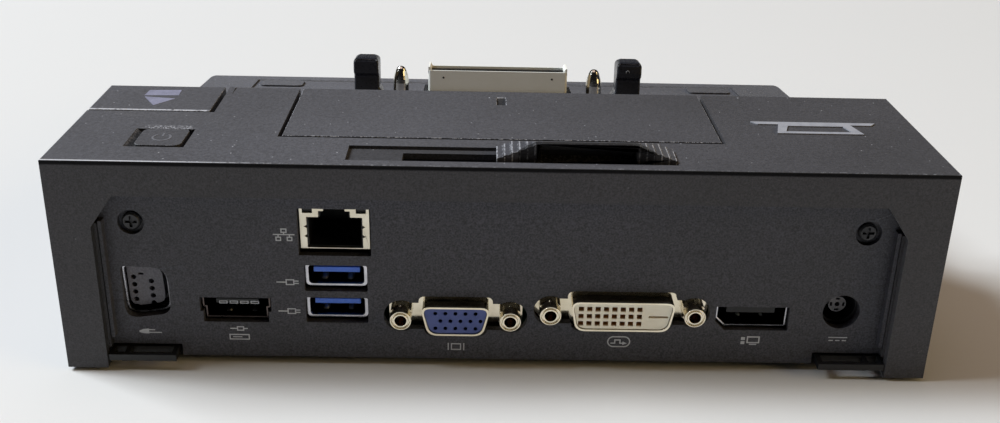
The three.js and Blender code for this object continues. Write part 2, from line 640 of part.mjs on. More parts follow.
function rj45Port() {
  const { x, z, w, h, face, deep } = RJ45;
  const [x0, x1, z0, z1] = [x - w / 2, x + w / 2, z - h / 2, z + h / 2];
  const lights = both((side) => box([x + side * 5.95 - 1.1, x + side * 5.95 + 1.1], [70, 80], [37.9, 39.1]));
  const notches = [32.1, 34.5].flatMap((level) => both((side) => prismY(
    [[x + side * 6, level - side * 0.45], [x + side * 6.75, level], [x + side * 6, level + side * 0.45]],
    70, 80)));
  const shield = cut(
    box([x0, x1], [face - deep, face], [z0, z1]),
    box([x0 + 0.4, x1 - 0.4], [face - deep - 1, face - 0.5], [z0 + 0.4, z1 - 0.4]),
    prismY(rj45Mouth(0.3), 70, 80),
    ...lights,
    ...notches,
  );
  part('rj45_shield', 'nickel', shield);
  const body = join(
    box([x0 + 0.5, x1 - 0.5], [face - deep + 0.2, face - 0.6], [z0 + 0.5, z1 - 0.5]),
    box([x0, x1], [face - deep - 2.4, face - deep - 0.1], [BOARD.z1 + SKIN, z1]),
    box([x - 7, x + 7], [face - deep - 0.6, face - deep + 0.6], [z0 + 0.6, z1 - 0.6]),
    box([x0, x1], [face - deep - 0.6, 71.5], [BOARD.z1 + SKIN, 11.3]),
  );
  const insert = cut(body, prismY(rj45Mouth(0), face - 12.6, 80));
  part('jack_stack_body', 'black', insert);
}
rj45Port();

function usbPort(name, { x, z, face }) {
  const rect = (w, h) => roundRect(x, z, w, h, 0.5);
  const shell = cut(
    join(prismY(rect(13.4, 5.6), face - 15, face), prismY(roundRect(x, z, 13.9, 5.9, 1.1), face - 0.5, face)),
    prismY(roundRect(x, z, 12.6, 4.9, 0.9), face - 16, face + 1),
  );
  part(`${name}_shell`, 'nickel', shell);
  part(`${name}_tongue`, 'usb_blue', join(
    box([x - 5.2, x + 5.2], [face - 13.6, face - 0.9], [z + 0.15, z + 1.35]),
    box([x - 5.2, x + 5.2], [face - 13.6, face - 1.7], [z + 1.25, z + 1.95]),
    box([x - 5.4, x + 5.4], [face - 14.8, face - 13.4], [z - 2.3, z + 2.3]),
  ));
}
usbPort('usb_upper', USB_UPPER);
usbPort('usb_lower', USB_LOWER);

function esataPort() {
  const { x, z, face } = ESATA;
  part('esata_shell', 'nickel', tube(ESATA_OUTLINE(0), ESATA_OUTLINE(-0.4), face - 14, face));
  part('esata_tongue', 'black', join(
    box([x - 4.8, x + 4.8], [face - 13, face - 0.9], [z + 0.45, z + 1.5]),
    box([x - 6.4, x + 6.4], [face - 13.8, face - 12.4], [z - 2.3, z + 2.3]),
    box([x - 6.4, x + 6.4], [face - 16, face - 14.2], [BOARD.z1 + SKIN, z + 2.4]),
    box([x - 5, x + 5], [face - 14.4, face - 13.6], [z - 2, z + 2]),
  ));
}
esataPort();

function displayPort() {
  const { x, z, face } = DP;
  part('displayport_shell', 'nickel', tube(DP_OUTLINE(0), DP_OUTLINE(-0.4), face - 12, face));
  part('displayport_tongue', 'black', join(
    box([x - 5.6, x + 5.6], [face - 11.4, face - 1.1], [z + 0.2, z + 1.6]),
    box([x - 7.4, x + 5.6], [face - 14, face - 12.2], [BOARD.z1 + SKIN, z + 2.4]),
    box([x - 5.4, x + 5.4], [face - 12.6, face - 11], [z - 2, z + 2]),
  ));
}
displayPort();

function dcInlet() {
  const { x, z } = DC;
  const body = box([x - 5.2, x + 5.2], [59, 73.1], [BOARD.z1 + SKIN, z + 5.2]);
  part('dc_jack_housing', 'black', cut(body, rodY(x, z, 3.95, 64, 80, 28)));
  part('dc_jack_core', 'steel', cut(
    rodY(x, z, 2.05, 64.05, 72.2, 20),
    rodY(x, z, 0.6, 70.2, 80, 10),
    ...both((side) => box([x + side * 1.45 - 0.25, x + side * 1.45 + 0.25], [71.2, 80], [z - 0.5, z + 0.5])),
    ...both((side) => box([x - 0.5, x + 0.5], [71.2, 80], [z + side * 1.45 - 0.25, z + side * 1.45 + 0.25])),
  ));
}
dcInlet();

function auxSocket() {
  const { x, z, face } = AUX;
  part('aux_socket_shell', 'nickel', tube(auxOutline(0.2), auxOutline(0.55), face - 9, face));
  const holes = [];
  for (let i = -2; i <= 2; i += 1) {
    holes.push(rodY(x + 3.2, z - 0.5 + i * 1.95, 0.65, face - 4, face + 1, 8));
  }
  for (let i = 0; i < 4; i += 1) {
    holes.push(rodY(x - 0.7, z - 3.4 + i * 1.92, 0.65, face - 4, face + 1, 8));
  }
  holes.push(box([x + 0.9, x + 2.1], [face - 4, face + 1], [z + 4.0, z + 4.5]));
  // The contact face is smaller than the shell and sits in its upper +X corner.
  const corner = { x: 84.9, z: 24.3 };
  const front = auxOutline(0.7).map(([px, pz]) => (
    [corner.x - (corner.x - px) * 0.88, corner.z - (corner.z - pz) * 0.94]
  ));
  part('aux_socket_body', 'black', cut(join(
    prismY(auxOutline(0.7), face - 9.5, face - 4.5),
    prismY(front, face - 9.5, face - 1.3),
    box([x - 4.4, x + 4.4], [face - 12, face - 9.2], [BOARD.z1 + SKIN, z + 5]),
  ), ...holes));
}
auxSocket();

// ---------------------------------------------------------------- boards
part('main_board', 'board', box([-BOARD.x, BOARD.x], [BOARD.y0, BOARD.y1], [BOARD.z0, BOARD.z1]));
part('power_board', 'board', box([67.4, 79.9], [57, 69], [42.3, 43.3]));
part('power_switch', 'black', join(
  box([POWER.x - 3, POWER.x + 3], [POWER.y - 3, POWER.y + 3], [43.3 + SKIN, 44.9]),
  rodZ(POWER.x, POWER.y, 1.6, 44.5, 45.5, 14),
));

// ---------------------------------------------------------------- sliding battery bar and its slider
function batteryBar() {
  const bottom = (y) => topAt(y) - BAR.deep;
  const lip = topAt(BLOCK_FRONT) - BAR.deep;
  const toe = blockFrontAt(lip);
  const outer = prismX([
    [BAR.rear, bottom(BAR.rear)], [BAR.rear, topAt(BAR.rear)], [BLOCK_FRONT, topAt(BLOCK_FRONT)],
    [toe, bottom(toe)],
  ], -BAR.x, BAR.x);
  const t = BAR.wall;
  const inner = prismX([
    [BAR.rear - t, 20], [BAR.rear - t, topAt(BAR.rear - t) - t],
    [BLOCK_FRONT + t, topAt(BLOCK_FRONT + t) - t], [toe + t, lip], [toe + t, 20],
  ], -BAR.x + t, BAR.x - t);
  const pin = join(
    rodZ(BAR_PIN.x, BAR_PIN.y, 2.9, 38.6, 48.6, 16),
    rodZ(BAR_PIN.x, BAR_PIN.y, 1.7, 34.6, 39, 14),
  );
  const mark = box([-1.1, 1.1], [30, 35.8], [topAt(32) - 0.5, 60]);
  return join(cut(outer, inner, mark), pin);
}
part('battery_bar', 'case', batteryBar());

// The carrier hangs from the slider and drives the bar's pin with a slanted slot.
function sliderCarrier() {
  const [x0, x1] = [-44, -4];
  const plate = { z0: 35.8, z1: 37.1 };
  const track = [];
  const [dx, dy] = [-KNOB.travel, -BAR.travel];
  const along = Math.atan2(dy, dx);
  for (const [cx, cy, from] of [[BAR_PIN.x, BAR_PIN.y, along + Math.PI / 2],
    [BAR_PIN.x + dx, BAR_PIN.y + dy, along - Math.PI / 2]]) {
    for (let i = 0; i <= 6; i += 1) {
      const a = from + (i * Math.PI) / 6;
      track.push([cx + 2.15 * Math.cos(a), cy + 2.15 * Math.sin(a)]);
    }
  }
  return cut(
    join(
      box([x0, x1], [32.4, 64.6], [plate.z0, plate.z1]),
      box([-31, -10.6], [63, 64.6], [plate.z0, 46.4]),
      box([-31, -10.6], [63, 72.6], [45.1, 46.4]),
    ),
    prismZ(track, 20, 40),
  );
}
part('slider_carrier', 'steel', sliderCarrier());

// Slider: a raised grip between two stepped ramps.
function sliderKnob() {
  const { x0, x1 } = KNOB;
  const [near, far] = [-4.2, -11.4];
  const rise = 4.2;
  const ramp = 9.8;
  const steps = 6;
  const outline = [[x0, -POCKET_DEEP + SKIN]];
  for (let i = 0; i < steps; i += 1) {
    const z = 0.4 + ((i + 0.5) * (rise - 0.4)) / steps;
    outline.push([x0 + (i * ramp) / steps, z], [x0 + ((i + 0.8) * ramp) / steps, z + 0.25]);
  }
  outline.push([x0 + ramp, rise], [x1 - ramp, rise]);
  for (let i = steps - 1; i >= 0; i -= 1) {
    const z = 0.4 + ((i + 0.5) * (rise - 0.4)) / steps;
    outline.push([x1 - ((i + 0.8) * ramp) / steps, z + 0.25], [x1 - (i * ramp) / steps, z]);
  }
  outline.push([x1, -POCKET_DEEP + SKIN]);
  const body = prismY([...outline].reverse(), far, near);
  const scoop = prismX([[near + 2, -0.6], [near + 2, rise - 0.3], [near - 0.2, rise - 0.3],
    [near - 2.2, 2.0], [near - 2.6, 0.6], [near - 1.4, -0.6]], x0 + ramp * 0.9, x1 - ramp * 0.9);
  const slope = prismX([[far - 1, rise - 2.6], [far - 1, rise + 3], [near + 1, rise + 3], [near - 1.2, rise]],
    x0 - 1, x1 + 1);
  const stem = box([x0 + 7, x0 + 27], [-6.9, -4.5], [-4.3, -0.5]);
  return join(cut(body, scoop, slope), stem);
}
part('slider_knob', 'case', sliderKnob(), topFrame);

// ---------------------------------------------------------------- eject button, lever and latch
function ejectButton() {
  const { x0, rear, foot } = EJECT;
  const toe = blockFrontAt(foot);
  const outer = prismX([[rear, foot], [rear, topAt(rear)], [BLOCK_FRONT, topAt(BLOCK_FRONT)], [toe, foot]],
    x0, HALF);
  const inner = prismX([[rear - 1.8, 30], [rear - 1.8, topAt(rear) - 2.4],
    [BLOCK_FRONT + 1.8, topAt(BLOCK_FRONT) - 2.4], [toe + 1.8, foot], [toe + 1.8, 30]], x0 + 1.8, HALF - 1.8);
  const post = join(
    box([LEVER.x - 2, LEVER.x + 2], [LEVER.y + LEVER.reach - 0.8, LEVER.y + LEVER.reach + 0.8],
      [LEVER.z + 1.6, 47.2]),
    rodZ(76, 36.5, 1.7, 44.2, 47.2, 14),
  );
  return join(cut(outer, inner), post);
}
part('eject_button', 'case', ejectButton());

function ejectLever() {
  const { x, y, z, reach, drop } = LEVER;
  return cut(
    join(
      rodX(y, z, 2.6, x - 3, x + 3, 18),
      box([x - 2, x + 2], [y, y + reach + 2.4], [z - 1.3, z + 1.3]),
      box([x - 1.4, x + 1.4], [y - 1.2, y + 1.2], [z - drop - 1.6, z]),
    ),
    rodX(y, z, 1.3, x - 5, x + 5, 16),
  );
}
part('eject_lever', 'steel', ejectLever());
part('lever_pin', 'steel', rodX(LEVER.y, LEVER.z, 1.2, 75.2, 94.6, 16));

// Coil spring about +Z: a round wire along a helix with flat ends.
class Helix extends THREE.Curve {
  constructor(radius, height, turns) {
    super();
    this.radius = radius;
    this.height = height;
    this.turns = turns;
  }

  getPoint(t, target = new THREE.Vector3()) {
    const angle = t * this.turns * 2 * Math.PI;
    return target.set(this.radius * Math.cos(angle), this.radius * Math.sin(angle), t * this.height);
  }
}

function coil(radius, height, turns, wire) {
  const section = asShape(disc(0, 0, wire, 5));
  const path = new Helix(radius, height, turns);
  const options = { steps: turns * 8, extrudePath: path, bevelEnabled: false };
  return solid(new THREE.ExtrudeGeometry(section, options));
}

part('eject_spring', 'steel', coil(2.6, 11.3, 5, 0.4), station, [76, 36.5, 34.75]);

const LATCH = { z0: -11.6, z1: -10.0, travel: 3 };
const LATCH_SPRING = { x: 60, z: -8.3, y: -7.45, length: 15.6 };
function latchPlate() {
  const { z0, z1 } = LATCH;
  const armY = LEVER.y - DOCK_Y;
  const tilt = Math.atan(DECK_RISE);
  const leverHole = armY / Math.cos(tilt) + ((z0 + z1) / 2) * Math.tan(tilt);
  return cut(
    join(
      box([-46, 89.5], [-7, 7], [z0, z1]),
      box([80.5, 89.5], [-7, leverHole + 5], [z0, z1]),
      box([56.5, 63.5], [-7, -6], [z0, LATCH_SPRING.z + 2.8]),
    ),
    box([LEVER.x - 1.9, LEVER.x + 1.9], [leverHole - 1.9, leverHole + 1.9], [z0 - 1, z1 + 1]),
  );
}
part('latch_plate', 'steel', latchPlate(), deckFrame);

// Hook: a post with its nose turned towards the block.
function latchHook(side) {
  const foot = LATCH.z1 + SKIN;
  const profile = [
    [-3.4, foot], [3.0, foot], [3.0, 9.6], [4.6, 10.6], [5.0, 12.0], [4.8, 14.6], [4.0, 15.4],
    [-1.4, 15.6], [-2.9, 14.9], [-3.4, 13.4],
  ];
  const [near, far] = [HOOK_X - 3.85, HOOK_X + 3.85];
  const post = prismX(profile, ...span(side, near, far))
    .intersect(prismY(roundRect(side * HOOK_X, 0, far - near, 31.2, 1.7), -4, 6));
  const inner = side * near;
  const flare = prismY([
    [inner + side * 0.5, -1], [inner - side * 1.2, -1], [inner - side * 1.2, 3.6],
    [inner - side * 0.6, 5.2], [inner + side * 0.5, 6.4],
  ], -3.4, 3.0);
  const foot2 = box(span(side, near - 0.6, far + 0.8), [-4.6, 4.2], [foot, foot + 1.4]);
  return join(post, flare, foot2);
}
part('latch_hook_left', 'black', latchHook(1), deckFrame);
part('latch_hook_right', 'black', latchHook(-1), deckFrame);

part('latch_spring', 'steel', coil(2.3, LATCH_SPRING.length, 6, 0.4), deckFrame,
  [LATCH_SPRING.x, LATCH_SPRING.y, LATCH_SPRING.z], Math.PI / 2);

// ---------------------------------------------------------------- power button
function powerButton() {
  const { w, d } = POWER;
  return join(
    prismZ(roundRect(0, 0, w, d, 1.6), -3.3, 0.15),
    prismZ(roundRect(0, 0, w + 1.8, d + 1.8, 1), -3.7, -2.5 - 0.1),
    rodZ(0, 0, 1.5, -4.2, -3.5, 12),
  );
}
part('power_button', 'case', powerButton(), topFrame, [POWER.x, POWER.y - REAR_Y, 0]);

// ---------------------------------------------------------------- docking connector
part('dock_connector_frame', 'black', cut(
  join(
    box([-WINDOW.x + GAP, WINDOW.x - GAP], [-WINDOW.y + GAP, WINDOW.y - GAP], [-3.4, 0.6]),
    box([-23, 23], [-5.6, 5.6], [-6.3, 5.4]),
  ),
  ...both((side) => rodZ(side * PIN_X, 0, 1.9, -10, 10, 16)),
), deckFrame);

function dockShell() {
  const { x, y, low, high } = { x: 21.5, y: 4.3, low: 5.4 + SKIN, high: 11.9 };
  const ring = cut(
    prismZ(roundRect(0, 0, 2 * x, 2 * y, 0.7), low, high),
    prismZ(roundRect(0, 0, 2 * x - 1.2, 2 * y - 1.2, 0.3), low - 1, high + 1),
  );
  const ears = both((side) => prismY([
    [side * x, high - 1], [side * x, high + 1.1],
    [side * (x - 0.5), high + 1.1], [side * (x - 1.4), high - 1],
  ], -y + 0.2, y - 0.2).subtract(prismZ(roundRect(0, 0, 2 * x - 1.2, 2 * y - 1.2, 0.3), 0, high)));
  return join(ring, ...ears);
}
part('dock_connector_shell', 'nickel', dockShell(), deckFrame);
part('dock_contact_block', 'black', cut(
  box([-20.6, 20.6], [-3.4, 3.4], [5.5, 11.2]),
  box([-19, 19], [-1.1, 1.1], [7, 14]),
), deckFrame);

const guidePin = turned([[0, -5], [1.6, -5], [1.6, 0.9], [3.1, 0.9], [3.1, 1.7], [2.45, 2.1], [2.45, 7.2],
  [2.35, 8.3], [2.1, 9.6], [1.7, 10.9], [1.3, 11.7], [0.75, 12.2], [0, 12.35]], 30);
part('guide_pin_left', 'chrome', guidePin, deckFrame, [PIN_X, 0, 0]);
part('guide_pin_right', 'chrome', guidePin, deckFrame, [-PIN_X, 0, 0]);
part('dock_board', 'board', box([-34, 34], [-11.5, 11.5], [-8, -6.4]), deckFrame);

for (const [name, side] of [['left', 1], ['right', -1]]) {
  part(`deck_pad_${name}`, 'rubber', prismZ(roundRect(side * 72.5, -30.2, 14, 8, 1.5), -0.55, 0), deckFrame);
}

// ---------------------------------------------------------------- emblem
// A plain pictogram: an open laptop over a wide stand.
function emblem() {
  const stand = prismZ([[-15, -3.9], [15, -3.9], [13.6, -2.2], [-13.6, -2.2]], 0.05, 0.3);
  const screen = cut(
    prismZ([[-8.6, -2.4], [8.6, -2.4], [10.2, 3.9], [-10.2, 3.9]], 0.05, 0.3),
    prismZ([[-6.6, -1.2], [6.6, -1.2], [7.8, 2.6], [-7.8, 2.6]], -1, 2),
  );
  return join(stand, screen);
}
part('emblem', 'silver_print', emblem(), topFrame, [-74.5, -28.1, 0]);
export default station;
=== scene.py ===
# Laptop docking station: looks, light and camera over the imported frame. Metres, same frame as the CAD.
import bpy, bmesh, json, math
from mathutils import Vector, Matrix


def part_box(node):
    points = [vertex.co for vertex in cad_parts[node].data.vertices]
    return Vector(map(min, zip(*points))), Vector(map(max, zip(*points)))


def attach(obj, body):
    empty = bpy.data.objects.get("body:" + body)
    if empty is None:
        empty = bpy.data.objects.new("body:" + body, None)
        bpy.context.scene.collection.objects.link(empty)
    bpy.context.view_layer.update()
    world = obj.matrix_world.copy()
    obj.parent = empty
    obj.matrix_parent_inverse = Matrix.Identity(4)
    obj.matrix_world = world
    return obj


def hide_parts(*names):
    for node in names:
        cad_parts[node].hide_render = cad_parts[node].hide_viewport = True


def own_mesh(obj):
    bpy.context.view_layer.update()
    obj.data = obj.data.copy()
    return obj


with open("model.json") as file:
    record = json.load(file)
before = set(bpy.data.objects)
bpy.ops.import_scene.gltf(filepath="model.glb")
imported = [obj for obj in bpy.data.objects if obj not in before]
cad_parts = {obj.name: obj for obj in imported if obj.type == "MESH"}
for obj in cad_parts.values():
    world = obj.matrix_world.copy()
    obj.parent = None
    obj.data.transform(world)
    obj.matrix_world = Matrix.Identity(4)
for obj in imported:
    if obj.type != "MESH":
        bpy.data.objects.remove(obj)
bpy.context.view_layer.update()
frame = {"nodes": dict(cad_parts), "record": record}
nodes = frame["nodes"]
MM = 0.001

# ------------------------------------------------------------------ camera and light
FOCAL_PX, WIDTH_PX, SENSOR = 1145.97, 1000, 36
PITCH, YAW, ROLL = (math.radians(a) for a in (27.10, 1.158, -1.445))
EYE = Vector((5.03, 299.18, 154.56)) * MM


def half_turn(v):
    return Vector((-v.x, -v.y, v.z))


def make_camera():
    forward = Vector((math.sin(YAW) * math.cos(PITCH), math.cos(YAW) * math.cos(PITCH), -math.sin(PITCH)))
    level = Vector((math.cos(YAW), -math.sin(YAW), 0))
    down = forward.cross(level)
    if down.z > 0:
        down = -down
    right = half_turn(level * math.cos(ROLL) + down * math.sin(ROLL))
    up = -half_turn(down * math.cos(ROLL) - level * math.sin(ROLL))
    data = bpy.data.cameras.new("camera")
    data.sensor_width = SENSOR
    data.lens = SENSOR * FOCAL_PX / WIDTH_PX
    data.clip_start, data.clip_end = 0.01, 10
    cam = bpy.data.objects.new("camera", data)
    bpy.context.scene.collection.objects.link(cam)
    pose = Matrix((right, up, -half_turn(forward))).transposed().to_4x4()
    pose.translation = EYE
    cam.matrix_world = pose
    bpy.context.scene.camera = cam


make_camera()


def area_light(name, place, size, power, color=(1, 1, 1)):
    """A soft rectangle of light turned to the middle of the object."""
    data = bpy.data.lights.new(name, "AREA")
    data.shape = "RECTANGLE"
    data.size, data.size_y = size
    data.energy = power
    data.color = color
    lamp = bpy.data.objects.new(name, data)
    lamp.location = place
    lamp.rotation_mode = "QUATERNION"
    lamp.rotation_quaternion = (Vector((0, 0, 0.02)) - Vector(place)).to_track_quat("-Z", "Y")
    bpy.context.scene.collection.objects.link(lamp)


area_light("key_high", (2.46, -0.82, 3.12), (1.14, 1.14), 118, (0.89, 0.955, 1.0))
area_light("key_low", (3.0, -0.17, 2.69), (1.14, 1.14), 88, (0.87, 0.945, 1.0))
area_light("top", (0.2, -0.3, 2.4), (2.0, 1.6), 10.4, (1.0, 0.79, 0.72))
area_light("side", (-2.2, 0.45, 0.9), (1.7, 1.1), 16.8, (1.0, 0.735, 0.345))

def make_world():
    """Almost no ambient light; beyond the floor, other views see a plain pale backdrop."""
    world = bpy.data.worlds.new("studio")
    bpy.context.scene.world = world
    world.use_nodes = True
    tree = world.node_tree
    fill = tree.nodes["Background"]
    fill.inputs["Color"].default_value = (0.92, 0.94, 1.0, 1)
    fill.inputs["Strength"].default_value = 0.01
    backdrop = tree.nodes.new("ShaderNodeBackground")
    backdrop.inputs["Color"].default_value = (0.80, 0.80, 0.79, 1)
    chooser = tree.nodes.new("ShaderNodeMixShader")
    seen = tree.nodes.new("ShaderNodeLightPath")
    tree.links.new(seen.outputs["Is Camera Ray"], chooser.inputs[0])
    tree.links.new(fill.outputs[0], chooser.inputs[1])
    tree.links.new(backdrop.outputs[0], chooser.inputs[2])
    tree.links.new(chooser.outputs[0], tree.nodes["World Output"].inputs["Surface"])


make_world()
bpy.context.scene.view_settings.view_transform = "Standard"


# ------------------------------------------------------------------ material building
def srgb(r, g, b):
    lin = lambda c: c / 12.92 if c <= 0.04045 else ((c + 0.055) / 1.055) ** 2.4
    return tuple(lin(v / 255) for v in (r, g, b)) + (1,)


SOCKETS = {"color": "Base Color", "rough": "Roughness", "metal": "Metallic", "spec": "Specular IOR Level",
           "normal": "Normal", "sheen": "Sheen Weight", "sheen_rough": "Sheen Roughness"}
# Black of painted shade.
SHADE_BLACK = srgb(9, 9, 11)


class Mat:
    """A node material with a few shorthand builders."""

    def __init__(self, name):
        self.mat = bpy.data.materials.new(name)
        self.mat.use_nodes = True
        self.tree = self.mat.node_tree
        self.tree.nodes.clear()
        self.out = self.new("ShaderNodeOutputMaterial")
        self.bsdf = self.new("ShaderNodeBsdfPrincipled")
        self.link(self.bsdf.outputs[0], self.out.inputs[0])
        self.texco = self.new("ShaderNodeTexCoord")
        self.coords = self.texco.outputs["Object"]
        self.color, self.void = None, None

    def new(self, kind, **props):
        node = self.tree.nodes.new(kind)
        for key, value in props.items():
            setattr(node, key, value)
        return node

    def link(self, a, b):
        self.tree.links.new(a, b)

    def paint_shade(self, mask, amount=1.0):
        """Painted shade: turns the masked part of self.color to a black without gloss."""
        mask = self.product(mask, amount)
        self.color = self.mix(mask, self.color, SHADE_BLACK)
        self.void = mask if self.void is None else self.math("MAXIMUM", self.void, mask)

    def put(self, socket, value):
        if hasattr(value, "links"):
            self.link(value, socket)
        else:
            socket.default_value = value

    def set(self, **values):
        for key, value in values.items():
            self.put(self.bsdf.inputs[SOCKETS[key]], value)
        return self

    def part_of(self, vector, axis):
        node = self.new("ShaderNodeSeparateXYZ")
        self.link(vector, node.inputs[0])
        return node.outputs[axis]

    def at(self, axis):
        """Position along an axis of the row frame, in metres."""
        return self.part_of(self.coords, axis)

    def facing(self, axis):
        return self.part_of(self.texco.outputs["Normal"], axis)

    def facing_up(self):
        return self.facing("Z")

    def span(self, value, low, high, start=0.0, end=1.0):
        """Smooth step of value from low to high."""
        node = self.new("ShaderNodeMapRange", interpolation_type="SMOOTHSTEP")
        for socket, number in zip(node.inputs[1:5], (low, high, start, end)):
            socket.default_value = number
        self.link(value, node.inputs[0])
        return node.outputs[0]

    def band(self, value, low, high, blur):
        """One between low and high, zero outside."""
        return self.math("MULTIPLY", self.span(value, low - blur, low + blur),
                         self.span(value, high - blur, high + blur, 1.0, 0.0))

    def noise(self, scale, detail=2.0, rough=0.5, coords=None):
        node = self.new("ShaderNodeTexNoise")
        node.inputs["Scale"].default_value = scale
        node.inputs["Detail"].default_value = detail
        node.inputs["Roughness"].default_value = rough
        self.link(coords or self.coords, node.inputs["Vector"])
        return node.outputs["Fac"]

    def dots(self, scale, radius, share):
        """Round specks: in a share of cells of 1/scale metres, radius in cells."""
        node = self.new("ShaderNodeTexVoronoi")
        node.inputs["Scale"].default_value = scale
        self.link(self.coords, node.inputs["Vector"])
        inside = self.span(node.outputs["Distance"], radius * 0.6, radius, 1.0, 0.0)
        chosen = self.span(self.part_of(node.outputs["Color"], "X"), 1 - share - 0.01, 1 - share + 0.01)
        return self.math("MULTIPLY", inside, chosen)

    def stretched(self, factors):
        node = self.new("ShaderNodeMapping")
        node.inputs["Scale"].default_value = factors
        self.link(self.coords, node.inputs["Vector"])
        return node.outputs[0]

    def math(self, op, a, b=0.0):
        node = self.new("ShaderNodeMath", operation=op)
        self.put(node.inputs[0], a)
        self.put(node.inputs[1], b)
        return node.outputs[0]

    def product(self, *values):
        result = values[0]
        for value in values[1:]:
            result = self.math("MULTIPLY", result, value)
        return result

    def mix(self, fac, a, b, blend="MIX"):
        node = self.new("ShaderNodeMix", data_type="RGBA", blend_type=blend)
        self.put(node.inputs[0], fac)
        self.put(node.inputs[6], a)
        self.put(node.inputs[7], b)
        return node.outputs[2]

    def bump(self, height, strength, distance):
        node = self.new("ShaderNodeBump")
        node.inputs["Strength"].default_value = strength
        node.inputs["Distance"].default_value = distance
        self.link(height, node.inputs["Height"])
        return node.outputs[0]


CLOUD_SCALE, FINE_SCALE, PEBBLE_SCALE = 22, 2400, 1050      # noise cells per metre
GRAIN_DEPTH = 0.00012


def grained(m, base, light, rough, grain, contrast=0.5):
    """Colour, roughness and bump of grained moulded plastic; returns the colour."""
    cloud = m.noise(CLOUD_SCALE, 3, 0.6)
    fine = m.noise(FINE_SCALE, 3, 0.6)
    pebble = m.noise(PEBBLE_SCALE, 2, 0.5)
    color = m.mix(m.span(cloud, 0.35, 0.7), base, light)
    tone = m.span(m.math("ADD", m.math("MULTIPLY", fine, 0.8), m.math("MULTIPLY", pebble, 0.2)),
                  0.3, 0.7, 1 - contrast, 1 + contrast)
    shade = m.new("ShaderNodeCombineColor")
    for socket in shade.inputs:
        m.link(tone, socket)
    color = m.mix(1.0, color, shade.outputs[0], "MULTIPLY")
    m.set(rough=m.span(m.math("ADD", m.math("MULTIPLY", cloud, 0.5), m.math("MULTIPLY", pebble, 0.5)),
                       0.3, 0.7, rough - 0.06, rough + 0.08))
    height = m.math("ADD", m.math("MULTIPLY", fine, 0.6), m.math("MULTIPLY", pebble, 0.8))
    m.set(normal=m.bump(height, 0.8 * grain, GRAIN_DEPTH), spec=0.42)
    return color


# The first colour is a dusty grey that also serves as a painted sheen on faces that look up.
DUST_AND_SHEEN, WORN = srgb(112, 113, 122), srgb(215, 215, 222)
TOP_REAR = (0.0774, 0.0514)                 # Y and Z of the rear top edge
REAR_LINE, REAR_LINE_FADE = (0.0765, 0.0770), (0.038, 0.088)
POST_X = (0.0860, 0.0930)
POWER_RIM_X, POWER_RIM_Y = (0.0708, 0.0822), (0.0546, 0.0572)
NOTCH_X, NOTCH_Y = (-0.00125, 0.00125), (0.0293, 0.0365)
KNOB_RAMP, KNOB_STEPS = 0.0098, 6
KNOB_CREST, KNOB_SCOOP = (0.0692, 0.0699), (0.0698, 0.0703)
TOP_LEAN, PANEL_LEAN = 0.0521, math.atan(0.0642)


def case_plastic(name, dust_and_sheen=0.5, wear=0.5, detail=None, shaded_end=0.25):
    """Charcoal grained plastic, scuffed along its top edges; lighter where it faces up, dusty and with a
    painted sheen that falls off towards -X as painted light.
    """
    m = Mat(name)
    color = grained(m, srgb(51, 50, 54), srgb(57, 56, 61), 0.5, 1.0)
    up = m.facing_up()
    # Lighter where it faces up: dusty, and a painted sheen for gloss seen at a grazing angle; the share falls
    # towards -X as painted light falloff.
    patch = m.span(m.noise(9, 3, 0.6), 0.3, 0.7, 0.8, 1.0)
    along = m.span(m.at("X"), -0.095, 0.06, shaded_end, 1.0)
    film = m.span(m.noise(1300, 3, 0.7), 0.3, 0.7, 0.45, 1.0)
    color = m.mix(m.product(m.span(up, 0.8, 0.97), patch, along, film, dust_and_sheen), color, DUST_AND_SHEEN)
    specks = m.math("MAXIMUM", m.product(m.dots(520, 0.11, 0.25), 0.5),
                    m.product(m.dots(300, 0.07, 0.12), 0.9))
    color = m.mix(m.product(specks, m.span(up, 0.5, 0.95, 0.12, 1.0)), color, WORN)
    edge = m.product(m.span(up, 0.2, 0.5), m.span(up, 0.94, 0.985, 1.0, 0.0))
    flecks = m.span(m.noise(1500, 3, 0.7), 0.48, 0.6)
    m.color = m.mix(m.product(edge, flecks, wear), color, WORN)
    if detail:
        detail(m)
    m.set(color=m.color, sheen=0.12, sheen_rough=0.5)
    if m.void is not None:
        m.set(metal=m.void)
    return m.mat


def height_over_top(m):
    """Height over the sloping top plane, in metres."""
    y, z = TOP_REAR
    rise = m.math("MULTIPLY", m.math("SUBTRACT", m.at("Y"), y), math.tan(TOP_LEAN))
    return m.math("SUBTRACT", m.math("SUBTRACT", m.at("Z"), z), rise)


